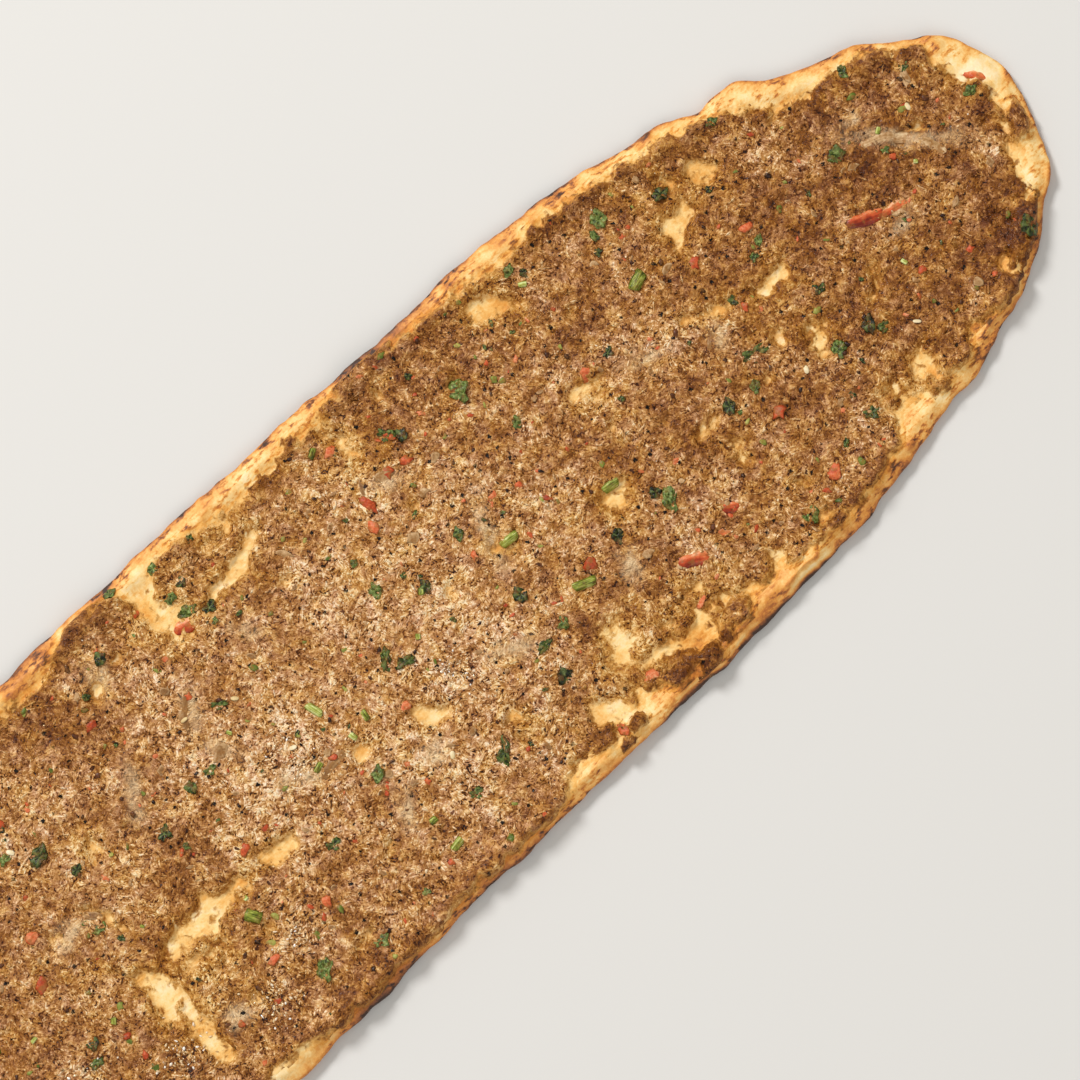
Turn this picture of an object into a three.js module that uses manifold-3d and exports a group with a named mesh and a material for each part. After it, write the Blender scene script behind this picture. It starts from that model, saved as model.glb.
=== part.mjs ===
// A long, flat Turkish pide: a thin hand-stretched bread with a low browned rim, spread almost to its edge
// with minced meat, onion and tomato, and baked open on the oven floor.
// Millimetres, +Z up. The origin is the middle of the underside, and +X runs along the bread.
import * as THREE from "three";
import { ParametricGeometry } from "three/addons/geometries/ParametricGeometry.js";
import { mergeVertices } from "three/addons/utils/BufferGeometryUtils.js";
import Module from "manifold-3d";

const wasm = await Module();
wasm.setup();

// ---------------------------------------------------------------- driving dimensions
const LENGTH = 740;
const WIDTH = 165;
const END_SWELL = 84; // a round end opens out to most of the full width over this length
const STATIONS = 60; // steps along each long side, from one tip to the other
const CLEARANCE = 0.3; // gap kept between touching pieces

const DOUGH = 2.8; // thickness of the bread under the meat
const EDGE_THICK = 3.4; // thickness of the rounded outer edge
const EDGE_ROUND = 2.2; // how far the rounding of the outer edge reaches inwards
const EDGE_STEPS = 4; // facets of that rounding
const RIM_CREST = 6; // height of the rim's crest above the table
const CREST_INSET = 4.6; // from the outer edge to the crest
const RIM_FOOT = 13; // from the outer edge to where the rim has flattened out
const FOOT_INSET = 9; // from the outer edge to where the underside meets the table
const SPINE_END = LENGTH / 2 - 45; // the inner surfaces close on a line this long each way

const MINCE = 2.4; // thickness of the meat spread
const MINCE_EDGE = 1.1; // the spread's height where it starts, at its own outer edge
const MINCE_INSET = 6; // usual width of the bare rim
const LEAST_INSET = 2.8; // the spread never comes closer to the outer edge than this
const MINCE_ROOT = 2.3; // the uncut spread reaches down to here, inside the bread

const ONION_THICK = 1.5;
const TOMATO_THICK = 1.7;
const SUNK = 0.9; // how deep the larger pieces sit in the spread
const BLOB_CORNERS = 12; // corners round a shred of tomato or a bare patch

// ---------------------------------------------------------------- uneven, hand-made features
// Swellings of the outline: [x, y, swell, reach]. Below zero is a dent.
const SWELLINGS = [
  [286, 64, -1.6, 6],
  [318, 50, -1.8, 20],
  [252, 72, -1.2, 24],
  [344, -42, -2, 16],
  [226, 76, 2.4, 34],
  [226, -76, 2.2, 34],
  [60, -82, -2.2, 42],
  [-140, 80, 2, 26],
  [-196, -78, -1.8, 30],
  [-262, 70, -1.6, 22],
  [-300, -58, 1.8, 20],
  [-330, 44, 1.5, 16],
];
// Both ends lean a little to one side: [x, lean, reach].
const LEANS = [
  [330, -4.5, 38],
  [-322, 3.4, 44],
];
// Where the bare rim is wider, or narrower below zero: [x, y, change, reach].
const RIM_CHANGES = [
  [40, 82, 7, 7],
  [18, 82, -2.8, 12],
  [70, 82, -3.2, 13],
  [102, 81, 2.4, 14],
  [138, 80, -3.2, 14],
  [208, 78, 3.6, 13],
  [250, 72, 1.4, 14],
  [312, 52, 7.5, 13],
  [345, 36, 4.5, 14],
  [358, 6, 3, 14],
  [358, -26, 4.5, 12],
  [340, -45, -3.4, 8],
  [320, -56, -3, 9],
  [304, -61, 6, 6],
  [272, -68, 3.4, 9],
  [236, -75, 2, 18],
  [200, -78, 4, 14],
  [130, -79, 6, 7],
  [106, -79, 6, 7],
  [76, -79, -3, 14],
  [28, -80, -3, 24],
  [-34, -82, 5, 7],
  [-12, -82, -3, 10],
];
// Places where the spread is missing and the bread shows: [x, y, length, width, turn in degrees].
const BARE_PATCHES = [
  [-23, -22, 30, 9, 6],
  [-47, -33, 26, 8, 78],
  [-45, -54, 17, 7, 100],
  [12, -23, 14, 6, 0],
  [39, 60, 15, 8, 160],
  [66, 56, 24, 5, 8],
  [190, 62, 15, 7, 145],
  [253, 39, 9, 6, 30],
  [271, 47, 9, 7, 70],
  [177, -15, 10, 7, 100],
  [81, -24, 11, 6, 140],
  [262, -24, 8, 6, 20],
];
// Slices of onion bent along an arc: [x, y, bend radius, arc in degrees, width, turn in degrees].
const ONIONS = [
  [330, 8, 24, 84, 3.6, 42],
  [47, -14, 17, 50, 3.4, 100],
  [21, 34, 15, 58, 3.2, 200],
  [235.5, 3.5, 16, 40, 3.2, -42],
];
// Shreds of tomato: [x, y, length, width, turn in degrees].
const TOMATOES = [
  [303, -4, 20, 5, -18],
  [180, -47, 11, 6, -40],
  [42, 53, 9, 4.6, -12],
];
// The far end repeats the near end's features, turned half way round, moved and resized a little.
const FAR_SHIFT = 9;
const FAR_SCALE = 1.12;
const FAR_FROM = 150; // features past this x are repeated at the far end

function withFarEnd(features, resized) {
  const far = features
    .filter(([x]) => x > FAR_FROM)
    .map((feature, i) => {
      const moved = [...feature];
      moved[0] = -feature[0] + FAR_SHIFT * Math.sin(2.4 * i + 1);
      moved[1] = -feature[1];
      moved[resized] *= i % 2 ? FAR_SCALE : 1 / FAR_SCALE;
      return moved;
    });
  return [...features, ...far];
}

// ---------------------------------------------------------------- solids
// A closed three.js geometry as a solid: shared vertices are merged and empty triangles dropped.
function solidOf(geometry) {
  const bare = geometry.clone();
  bare.deleteAttribute("normal");
  bare.deleteAttribute("uv");
  const merged = mergeVertices(bare, 1e-4);
  const corners = merged.index.array;
  const kept = [];
  for (let i = 0; i < corners.length; i += 3) {
    const [a, b, c] = corners.subarray(i, i + 3);
    if (a !== b && b !== c && c !== a) kept.push(a, b, c);
  }
  const mesh = new wasm.Mesh({
    numProp: 3,
    vertProperties: new Float32Array(merged.attributes.position.array),
    triVerts: new Uint32Array(kept),
  });
  return new wasm.Manifold(mesh);
}

function geometryOf(solid) {
  const mesh = solid.getMesh();
  const geometry = new THREE.BufferGeometry();
  geometry.setAttribute("position", new THREE.BufferAttribute(mesh.vertProperties, 3));
  geometry.setIndex(new THREE.BufferAttribute(mesh.triVerts, 1));
  geometry.computeVertexNormals();
  return geometry;
}

// ---------------------------------------------------------------- the outline
function hill(distance, reach) {
  return Math.exp(-((distance / reach) ** 2));
}

function halfWidth(x) {
  const toEnd = LENGTH / 2 - Math.abs(x);
  return (WIDTH / 2) * Math.sqrt(1 - Math.exp(-toEnd / END_SWELL));
}

function lean(x) {
  return LEANS.reduce((sum, [at, by, reach]) => sum + by * hill(x - at, reach), 0);
}

// How far a list of [x, y, change, reach] changes something at a point.
function changeAt(features, x, y) {
  return features.reduce(
    (sum, [fx, fy, change, reach]) => sum + change * hill(Math.hypot(x - fx, y - fy), reach),
    0,
  );
}

// One long side of the plain outline, from the +X tip to the -X tip.
class LongSide extends THREE.Curve {
  getPoint(t, target = new THREE.Vector2()) {
    const x = (LENGTH / 2) * Math.cos(Math.PI * t);
    return target.set(x, halfWidth(x));
  }
}

const longSide = new LongSide();
longSide.arcLengthDivisions = 2000;
const sidePoints = longSide.getSpacedPoints(STATIONS);

// Station j of the way round, 0 to 2 * STATIONS, as a point on the real outline with its inward direction.
function stationAt(j) {
  const side = j <= STATIONS ? 1 : -1;
  const i = side > 0 ? j : 2 * STATIONS - j;
  const { x, y } = sidePoints[i];
  const isTip = i === 0 || i === STATIONS;
  const before = sidePoints[Math.max(i - 1, 0)];
  const after = sidePoints[Math.min(i + 1, STATIONS)];
  const along = new THREE.Vector2(after.x - before.x, after.y - before.y).normalize();
  const inward = isTip
    ? new THREE.Vector2(-Math.sign(x), 0)
    : new THREE.Vector2(-along.y, side * along.x);
  const edgeY = isTip ? 0 : side * y;
  const swell = isTip ? 0 : changeAt(SWELLINGS, x, edgeY);
  const edge = new THREE.Vector2(x, edgeY + lean(x)).addScaledVector(inward, -swell);
  return { edge, inward, x };
}

const stations = Array.from({ length: 2 * STATIONS + 1 }, (_, j) => stationAt(j));

function insetPoint(station, inset) {
  return station.edge.clone().addScaledVector(station.inward, inset);
}

// Where the inner surfaces close: a line along the middle of the bread.
function spinePoint(station) {
  const x = THREE.MathUtils.clamp(station.x, -SPINE_END, SPINE_END);
  return new THREE.Vector2(x, lean(x));
}

// ---------------------------------------------------------------- the bread
// The rim rises and sinks a little on its way round, and its outer edge lifts off the table.
function rimRise(p) {
  return 0.55 * Math.sin(p.x / 21 + p.y / 30) + 0.35 * Math.sin(p.x / 9.5 - p.y / 12 + 1.7);
}

function edgeLift(p) {
  return 0.9 + 0.5 * Math.sin(p.x / 37 - p.y / 26 + 0.6);
}

// Top of the bread at a distance in from the edge: up to the crest, then an even fall to the flat middle.
function breadTop(station, inset) {
  const crest = RIM_CREST + rimRise(station.edge);
  if (inset >= RIM_FOOT) return DOUGH;
  if (inset >= CREST_INSET) {
    const share = (inset - CREST_INSET) / (RIM_FOOT - CREST_INSET);
    return DOUGH + (crest - DOUGH) * 0.5 * (1 + Math.cos(Math.PI * share));
  }
  const shoulder = edgeLift(station.edge) + EDGE_THICK;
  const share = (inset - EDGE_ROUND) / (CREST_INSET - EDGE_ROUND);
  return THREE.MathUtils.lerp(shoulder, crest, Math.sin((Math.PI / 2) * Math.max(share, 0)));
}

// The bread's section at a station, from the middle of the underside round the edge to the middle of the top.
function breadSection(station) {
  const lift = edgeLift(station.edge);
  const section = [
    [spinePoint(station), 0],
    [insetPoint(station, FOOT_INSET), 0],
  ];
  for (let k = 0; k <= EDGE_STEPS; k++) {
    const turn = Math.PI * (k / EDGE_STEPS - 0.5);
    const inset = EDGE_ROUND * (1 - Math.cos(turn));
    const height = lift + EDGE_THICK * 0.5 * (1 + Math.sin(turn));
    section.push([insetPoint(station, inset), height]);
  }
  for (const inset of [CREST_INSET, 7, 10, RIM_FOOT]) {
    section.push([insetPoint(station, inset), breadTop(station, inset)]);
  }
  section.push([spinePoint(station), DOUGH]);
  return section;
}

// A closed skin through every station's section.
function skinOf(sectionAt) {
  const sections = stations.map(sectionAt);
  const rings = sections[0].length - 1;
  const place = (u, v, target) => {
    const [point, height] = sections[Math.round(u * 2 * STATIONS)][Math.round(v * rings)];
    target.set(point.x, point.y, height);
  };
  return solidOf(new ParametricGeometry(place, 2 * STATIONS, rings));
}

// ---------------------------------------------------------------- the meat spread
const rimChanges = withFarEnd(RIM_CHANGES, 3);

function minceInset(station) {
  const change = changeAt(rimChanges, station.edge.x, station.edge.y);
  return Math.max(MINCE_INSET + change, LEAST_INSET);
}

function minceTop(p) {
  const uneven = 0.22 * Math.sin(p.x / 13 + 1.6 * Math.sin(p.y / 19)) + 0.16 * Math.sin(p.y / 9 + p.x / 23);
  return DOUGH + CLEARANCE + MINCE + uneven;
}

function minceSection(station) {
  const inset = minceInset(station);
  const middle = spinePoint(station);
  const flat = Math.max(inset + 7, RIM_FOOT + 3);
  const section = [
    [middle, MINCE_ROOT],
    [insetPoint(station, inset), MINCE_ROOT],
    [insetPoint(station, inset), breadTop(station, inset) + MINCE_EDGE],
    [insetPoint(station, inset + 1.4), breadTop(station, inset + 1.4) + 0.8 * MINCE],
  ];
  const shoulder = insetPoint(station, flat);
  for (const share of [0, 0.5, 1]) {
    const p = shoulder.clone().lerp(middle, share);
    section.push([p, minceTop(p)]);
  }
  return section;
}

// An upright blob with an uneven round outline, standing on z = 0. It is grown all round to make a bed.
function blob(length, width, height, bevel = 0, grow = 0) {
  const points = [];
  for (let k = 0; k < BLOB_CORNERS; k++) {
    const turn = (2 * Math.PI * k) / BLOB_CORNERS;
    const uneven = 1 + 0.12 * Math.sin(3 * turn + length) + 0.08 * Math.sin(5 * turn + width);
    const across = (size) => (size / 2) * uneven + grow - bevel;
    points.push(new THREE.Vector2(across(length) * Math.cos(turn), across(width) * Math.sin(turn)));
  }
  return new THREE.ExtrudeGeometry(new THREE.Shape(points), {
    depth: height - 2 * bevel,
    bevelEnabled: bevel > 0,
    bevelThickness: bevel,
    bevelSize: bevel,
    bevelSegments: 1,
  }).translate(0, 0, bevel);
}

// A slice bent along an arc, with round ends, standing on z = 0 with the middle of its arc at the origin.
function bentSlice(radius, arc, width, height, bevel = 0) {
  const half = THREE.MathUtils.degToRad(arc / 2);
  const thin = width / 2 - bevel;
  const shape = new THREE.Shape();
  shape.absarc(-radius, 0, radius + thin, -half, half, false);
  const tip = new THREE.Vector2(Math.cos(half), Math.sin(half)).multiplyScalar(radius);
  shape.absarc(tip.x - radius, tip.y, thin, half, half + Math.PI, false);
  shape.absarc(-radius, 0, radius - thin, half, -half, true);
  shape.absarc(tip.x - radius, -tip.y, thin, Math.PI - half, 2 * Math.PI - half, false);
  return new THREE.ExtrudeGeometry(shape, {
    depth: height - 2 * bevel,
    bevelEnabled: bevel > 0,
    bevelThickness: bevel,
    bevelSize: bevel,
    bevelSegments: 1,
    curveSegments: 5,
  }).translate(0, 0, bevel);
}

function laid(geometry, x, y, z, turn) {
  return geometry.rotateZ(THREE.MathUtils.degToRad(turn)).translate(x, y, z);
}

// The larger pieces in the spread. Each knows its own shape and the slightly larger bed that it lies in.
const onions = withFarEnd(ONIONS, 3).map(([x, y, radius, arc, width, turn]) => {
  const z = minceTop({ x, y }) - SUNK;
  const slice = (grow, height, bevel) => bentSlice(radius, arc, width + 2 * grow, height, bevel);
  return {
    kind: "onion",
    piece: laid(slice(0, ONION_THICK, 0.4), x, y, z, turn),
    bed: laid(slice(CLEARANCE, ONION_THICK + 4, 0), x, y, z - CLEARANCE, turn),
  };
});

const tomatoes = withFarEnd(TOMATOES, 2).map(([x, y, length, width, turn]) => {
  const z = minceTop({ x, y }) - SUNK;
  return {
    kind: "tomato",
    piece: laid(blob(length, width, TOMATO_THICK, 0.5), x, y, z, turn),
    bed: laid(blob(length, width, TOMATO_THICK + 4, 0, 2 * CLEARANCE), x, y, z - CLEARANCE, turn),
  };
});

const toppings = [...onions, ...tomatoes];

// ---------------------------------------------------------------- putting it together
const bread = skinOf(breadSection);
const liftedBread = bread.translate([0, 0, CLEARANCE]);

const holes = withFarEnd(BARE_PATCHES, 2).map(([x, y, length, width, turn]) =>
  solidOf(laid(blob(length, width, 12), x, y, 0, turn)),
);
const beds = toppings.map(({ bed }) => solidOf(bed));
const mince = [...holes, ...beds].reduce(
  (spread, tool) => spread.subtract(tool),
  skinOf(minceSection).subtract(liftedBread),
);

const bakedDough = new THREE.MeshStandardMaterial({ color: "#dca863", roughness: 0.72, metalness: 0 });
const cookedMince = new THREE.MeshStandardMaterial({ color: "#86613a", roughness: 0.55, metalness: 0 });
const softOnion = new THREE.MeshStandardMaterial({ color: "#cdbb98", roughness: 0.4, metalness: 0 });
const redTomato = new THREE.MeshStandardMaterial({ color: "#b8482f", roughness: 0.4, metalness: 0 });
const toppingMaterials = { onion: softOnion, tomato: redTomato };

// The middle of the finished bread becomes the origin.
const { min, max } = bread.boundingBox();
const middle = new THREE.Vector3((min[0] + max[0]) / 2, (min[1] + max[1]) / 2, 0);

const pide = new THREE.Group();

function addPiece(name, geometry, material) {
  geometry.translate(-middle.x, -middle.y, 0);
  const piece = new THREE.Mesh(geometry, material);
  piece.name = name;
  pide.add(piece);
}

addPiece("crust", geometryOf(bread), bakedDough);
addPiece("mince", geometryOf(mince), cookedMince);
for (const pieces of [onions, tomatoes]) {
  pieces.forEach(({ kind, piece }, i) => {
    addPiece(`${kind}_${i + 1}`, geometryOf(solidOf(piece)), toppingMaterials[kind]);
  });
}

export default pide;
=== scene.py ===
# %% [markdown]
# # A long Turkish pide
# A pide is a bread that is stretched by hand into a long boat, spread with raw minced meat, and baked
# open on a stone floor. Its parts are a thin bread with a low browned rim, a spread of meat that is a
# little under three millimetres thick, and soft bits of onion, tomato and parsley in the spread. The
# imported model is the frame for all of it: its bread and its meat are true to size but plain, so this
# script measures them and makes finer pieces that stand in their place.

# %% Load the frame
import math
import random

import bmesh
import bpy
import numpy as np
from mathutils import Matrix, Vector, noise
from mathutils.bvhtree import BVHTree
from mathutils.kdtree import KDTree


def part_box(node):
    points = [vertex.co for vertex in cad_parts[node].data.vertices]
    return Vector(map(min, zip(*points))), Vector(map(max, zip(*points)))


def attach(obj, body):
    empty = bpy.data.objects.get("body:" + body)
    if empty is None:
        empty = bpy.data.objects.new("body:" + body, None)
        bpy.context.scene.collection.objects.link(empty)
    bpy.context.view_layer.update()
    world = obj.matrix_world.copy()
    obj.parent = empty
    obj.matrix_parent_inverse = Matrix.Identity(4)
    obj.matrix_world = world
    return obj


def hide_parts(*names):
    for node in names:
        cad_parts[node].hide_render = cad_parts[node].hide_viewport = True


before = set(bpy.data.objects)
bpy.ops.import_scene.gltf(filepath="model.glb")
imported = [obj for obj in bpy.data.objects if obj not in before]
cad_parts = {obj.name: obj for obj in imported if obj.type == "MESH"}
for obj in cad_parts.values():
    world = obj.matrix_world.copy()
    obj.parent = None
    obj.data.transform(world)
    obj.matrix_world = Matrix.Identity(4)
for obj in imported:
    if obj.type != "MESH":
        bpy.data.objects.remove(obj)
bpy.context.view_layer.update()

MM = 0.001

# %% [markdown]
# ## Colours and nodes
# Every colour is written as it would be picked on a screen, and one function turns it into the linear
# values that a shader works with. `feed` gives a node its inputs, each a value or the output of another
# node, and `add` makes a node and gives back one of its outputs. A pattern's scale is how many of its
# features fit in a metre, so `per_metre` turns a real size in millimetres into a scale.

# %% Colour and node helpers
def linear(colour):
    """An sRGB hex colour as linear red, green, blue and alpha."""
    parts = [int(colour[i : i + 2], 16) / 255 for i in (1, 3, 5)]
    return [c / 12.92 if c <= 0.04045 else ((c + 0.055) / 1.055) ** 2.4 for c in parts] + [1.0]


def feed(node, inputs):
    """Gives inputs, listed in order or by number or name, their values or the outputs that feed them."""
    for name, value in inputs.items() if isinstance(inputs, dict) else enumerate(inputs):
        if isinstance(value, bpy.types.NodeSocket):
            node.id_data.links.new(value, node.inputs[name])
        else:
            node.inputs[name].default_value = value


def add(tree, kind, inputs, out=0, stops=None, **settings):
    """Adds a node with its inputs and settings, and gives back one of its outputs."""
    made = tree.nodes.new("ShaderNode" + kind)
    for name, value in settings.items():
        setattr(made, name, value)
    if stops:
        steps = made.color_ramp.elements
        for _ in stops[2:]:
            steps.new(0.5)
        for step, (place, colour) in zip(steps, stops):
            step.position, step.color = place, linear(colour)
    feed(made, inputs)
    return made.outputs[out]


def per_metre(millimetres):
    return 1 / (millimetres * MM)


def new_material(name):
    """A material, its nodes, its Principled shader, and the place that its patterns are read at."""
    made = bpy.data.materials.new(name)
    made.use_nodes = True
    tree = made.node_tree
    return made, tree, tree.nodes["Principled BSDF"], add(tree, "TexCoord", (), "Object")


# %% [markdown]
# ## Uneven by hand
# Nothing on a bread is straight, so most shapes here are pushed about by smooth noise. `ripple` gives
# that noise at a list of places, for bumps of a given size. Its values lie between about -1 and 1, and
# are the same on every run. `hill` is the other brush: a soft round bump of a given reach.

# %% Noise and brushes
def ripple(places, size, seed=0):
    """Smooth noise at each place in millimetres, with bumps about that many millimetres wide."""
    return np.array([noise.noise((x / size, y / size, z / size + 17.3 * seed)) for x, y, z in places]) * 1.6


def hill(distance, reach):
    return np.exp(-((distance / reach) ** 2))


def around(xs, ys, x, y, reach):
    """A hill whose top is at x and y."""
    return hill(np.hypot(xs - x, ys - y), reach)


def ease(value):
    """Runs from 0 to 1 with a soft start and a soft end."""
    held = np.clip(value, 0, 1)
    return held * held * (3 - 2 * held)


def blob(xs, ys, x, y, length, width, turn, steep=1.5):
    """1 in the middle of a soft oval, about a half at its edge, 0 far outside. The turn is in degrees."""
    c, s = math.cos(math.radians(turn)), math.sin(math.radians(turn))
    along = (xs - x) * c + (ys - y) * s
    across = (ys - y) * c - (xs - x) * s
    return np.exp(-0.7 * ((2 * along / length) ** 2 + (2 * across / width) ** 2) ** steep)


# %% [markdown]
# ## The far end
# Features are listed, in millimetres from the middle of the bread, for the end at +X. The other
# end of such a bread is shaped and baked in the same way, so it gets the same features turned half way
# round, each one moved a little by chance.

# %% Repeat features at the far end
FAR_FROM = 125


def with_far_end(features, seed):
    """Each feature starts with its place, x and y. Those past FAR_FROM are repeated at the other end."""
    draw = random.Random(seed)
    far = []
    for x, y, *rest in features:
        if x > FAR_FROM:
            far.append((-x + draw.uniform(-7, 7), -y * draw.uniform(0.94, 1.02), *rest))
    return list(features) + far


# %% [markdown]
# ## Pieces
# A finished piece is a mesh in the frame's own metres, with its object at the origin. It rides on the
# row's one body, gets its one material, and may stand for nodes of the packed model, which are then hidden.

# %% Make a piece
def shape_of(mesh):
    shape = bmesh.new()
    shape.from_mesh(mesh)
    return shape


def mesh_from(shape):
    mesh = bpy.data.meshes.new("draft")
    shape.to_mesh(mesh)
    shape.free()
    return mesh


def put(name, data):
    """Puts a mesh, a lamp or a camera in the scene."""
    made = bpy.data.objects.new(name, data)
    bpy.context.scene.collection.objects.link(made)
    return made


def piece_from(mesh, name, material, stands_for=()):
    mesh.name = name
    mesh.materials.clear()
    mesh.materials.append(material)
    mesh.shade_smooth()
    made = put(name, mesh)
    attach(made, "root")
    if stands_for:
        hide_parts(*stands_for)
    print(f"{name}: {sum(len(p.vertices) - 2 for p in mesh.polygons)} triangles")


def mark(mesh, name, values):
    """Stores one number per point of a mesh, for a material to read."""
    made = mesh.attributes.new(name, "FLOAT", "POINT")
    made.data.foreach_set("value", np.asarray(values, dtype=np.float32))


def rows_of(data, field):
    """A field of three numbers for each of a mesh's points."""
    flat = np.empty(len(data) * 3)
    data.foreach_get(field, flat)
    return flat.reshape(-1, 3)


def points_of(mesh):
    """A mesh's points in millimetres."""
    return rows_of(mesh.vertices, "co") / MM


# %% [markdown]
# ## The bread's shape
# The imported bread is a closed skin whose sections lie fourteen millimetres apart. It could be remeshed
# into even cubes, but a thin plate has so much flat face that few of them would be left for the rim,
# which is the only part that shows. Instead, the skin's triangles are joined into quads, smoothed twice
# by subdivision, and then only the edges that run along the rim are cut again. That gives cells of under
# a millimetre there.

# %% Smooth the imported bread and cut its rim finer
RIM_CUTS = 3
LONG_EDGE = 2.6 * MM
SPINE_END = 325 * MM

shape = shape_of(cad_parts["crust"].data)
bmesh.ops.remove_doubles(shape, verts=shape.verts, dist=0.001 * MM)
bmesh.ops.join_triangles(
    shape, faces=shape.faces, angle_face_threshold=0.9, angle_shape_threshold=1.5, cmp_seam=False
)
holder = put("draft", mesh_from(shape))
smoother = holder.modifiers.new("smooth", "SUBSURF")
smoother.levels = smoother.render_levels = 2
smoothed = holder.evaluated_get(bpy.context.evaluated_depsgraph_get())
shape = shape_of(bpy.data.meshes.new_from_object(smoothed))
bpy.data.objects.remove(holder)


def runs_along_rim(edge):
    """True for an edge that follows the outline, and false for one that crosses the rim."""
    a, b = (v.co for v in edge.verts)
    way = ((b - a) * Vector((1, 1, 0))).normalized()
    middle = (a + b) / 2
    outwards = Vector((middle.x - max(-SPINE_END, min(SPINE_END, middle.x)), middle.y, 0)).normalized()
    return (b - a).length > LONG_EDGE and abs(way.dot(outwards)) < 0.7


along_rim = [e for e in shape.edges if runs_along_rim(e)]
bmesh.ops.subdivide_edges(shape, edges=along_rim, cuts=RIM_CUTS, use_grid_fill=True)
bread_mesh = mesh_from(shape)
print("edges cut along the rim:", len(along_rim), "points now:", len(bread_mesh.vertices))

# %% [markdown]
# ## How far in from the edge
# Most of what follows depends on how far a place is from the bread's outer edge. The points of the skin
# whose normals lie flat are that edge. A k-d tree holds them, and answers which one is nearest to any
# place.

# %% Measure the distance from the edge
def edge_of(mesh):
    """A mesh's outer edge: a tree of its points, and every point's way out."""
    points, normals = points_of(mesh), rows_of(mesh.vertex_normals, "vector")
    on_edge = np.flatnonzero(np.abs(normals[:, 2]) < 0.3)
    tree = KDTree(len(on_edge))
    for i in on_edge:
        tree.insert((points[i, 0], points[i, 1], 0), i)
    tree.balance()
    return tree, normals[:, :2]


def edge_near(places, edge):
    """For each place in millimetres: how far in it is, and the way out at the nearest point of the edge."""
    tree, normals = edge
    found = [tree.find((x, y, 0)) for x, y in places]
    ways = normals[[f[1] for f in found]]
    return np.array([f[2] for f in found]), ways / np.linalg.norm(ways, axis=1, keepdims=True)


bread_points = points_of(bread_mesh)
bread_normals = rows_of(bread_mesh.vertex_normals, "vector")
inset, outwards = edge_near(bread_points[:, :2], edge_of(bread_mesh))
print("greatest distance in:", round(inset.max(), 1), "mm")

# %% [markdown]
# ## The rim's relief
# Dough that is pinched up by hand and baked hard has a wavy outline, soft lumps, and a few small blisters
# where steam lifted the skin. The waves move the edge in and out, and the lumps and blisters move the top
# up. Each fades out towards the meat, and the underside is left flat where it stands on the table. In
# places the rim has a lip: its upper skin shrank back, and the browned dough below it stands out past it.

# %% Shape the rim
RIM = 15  # how far in from the edge the dough is worked by hand
# Each swelling of the outline: x, y, reach, and how far out, below zero for a dent.
SWELLINGS = [
    (190, 79, 14, 1.8), (132, 80, 7, -1.2), (300, 58, 7, 3.2), (286, 64, 4, -1.6), (272, 68, 7, 1.2),
    (243, 73, 9, 0.9), (340, 42, 8, 1.8), (360, 20, 13, 3.4), (369, 2, 12, 2.4), (356, -32, 10, 2.4),
    (338, -50, 8, 1.8), (310, -61, 9, -1.6), (290, -66, 6, 1.8), (231, -76, 6, 1.2), (163, -79, 5, 1.4),
    (184, -79, 5, 0.8), (-27, -82, 9, 2), (9, -82, 6, 1.6), (72, -80, 6, 0.8), (-14, 82, 5, -1.6),
]
LIPS = [(176, -77, 17), (150, -80, 12), (205, -76, 9)]  # x, y, reach along the rim

by_rim = ease((RIM + 3 - inset) / RIM)
faces_up = ease(bread_normals[:, 2] * 1.6)
waves, lumps = (
    sum(high * ripple(bread_points, size, seed) for high, size, seed in bumps)
    for bumps in (
        ((0.6, 16, 1), (0.32, 6, 2), (0.12, 2.6, 3)),
        ((0.3, 9, 4), (0.18, 3.8, 5), (0.08, 1.9, 6)),
    )
)
blisters = 1.7 * np.clip(ripple(bread_points, 6, 7) - 0.62, 0, 1) ** 0.8
bread_points[:, :2] += outwards * (waves * ease((11 - inset) / 11))[:, None]
bread_points[:, 2] += faces_up * ((lumps + blisters) * (0.25 + 0.75 * by_rim))
for *spot, out in with_far_end(SWELLINGS, seed=7):
    near = around(*bread_points.T[:2], *spot)
    bread_points[:, :2] += outwards * (out * near * ease((9 - inset) / 9))[:, None]

lipped = np.zeros(len(bread_points))
for lip in with_far_end(LIPS, seed=1):
    lipped = np.maximum(lipped, around(*bread_points.T[:2], *lip))
upper = ease((bread_points[:, 2] - 2.2) / 1.3)
by_edge = ease((6 - inset) / 5)
bread_points[:, :2] += outwards * (lipped * by_edge * (0.8 - 2.6 * upper))[:, None]
bread_points[:, 2] += 0.7 * lipped * upper * ease((4.5 - inset) / 3)
bread_points[:, 2] = np.maximum(bread_points[:, 2], 0)
bread_mesh.vertices.foreach_set("co", (bread_points * MM).ravel())
bread_mesh.update()
edge = edge_of(bread_mesh)
inset, outwards = edge_near(bread_points[:, :2], edge)
print("rim height:", round(bread_points[:, 2].max(), 2), "mm")

# %% [markdown]
# ## Where the bread browned
# A bread browns first where it is thin, high or close to the fire: along its outer edge, on blisters, and
# on the underside. Three numbers for each point carry this into the material: how browned the dough is,
# from 0 for pale to 1 for burnt, how likely it is to be flecked with brown there, and how far meat juice
# stained it. The hills in the list are spots that caught more or less heat than the rest.

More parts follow.
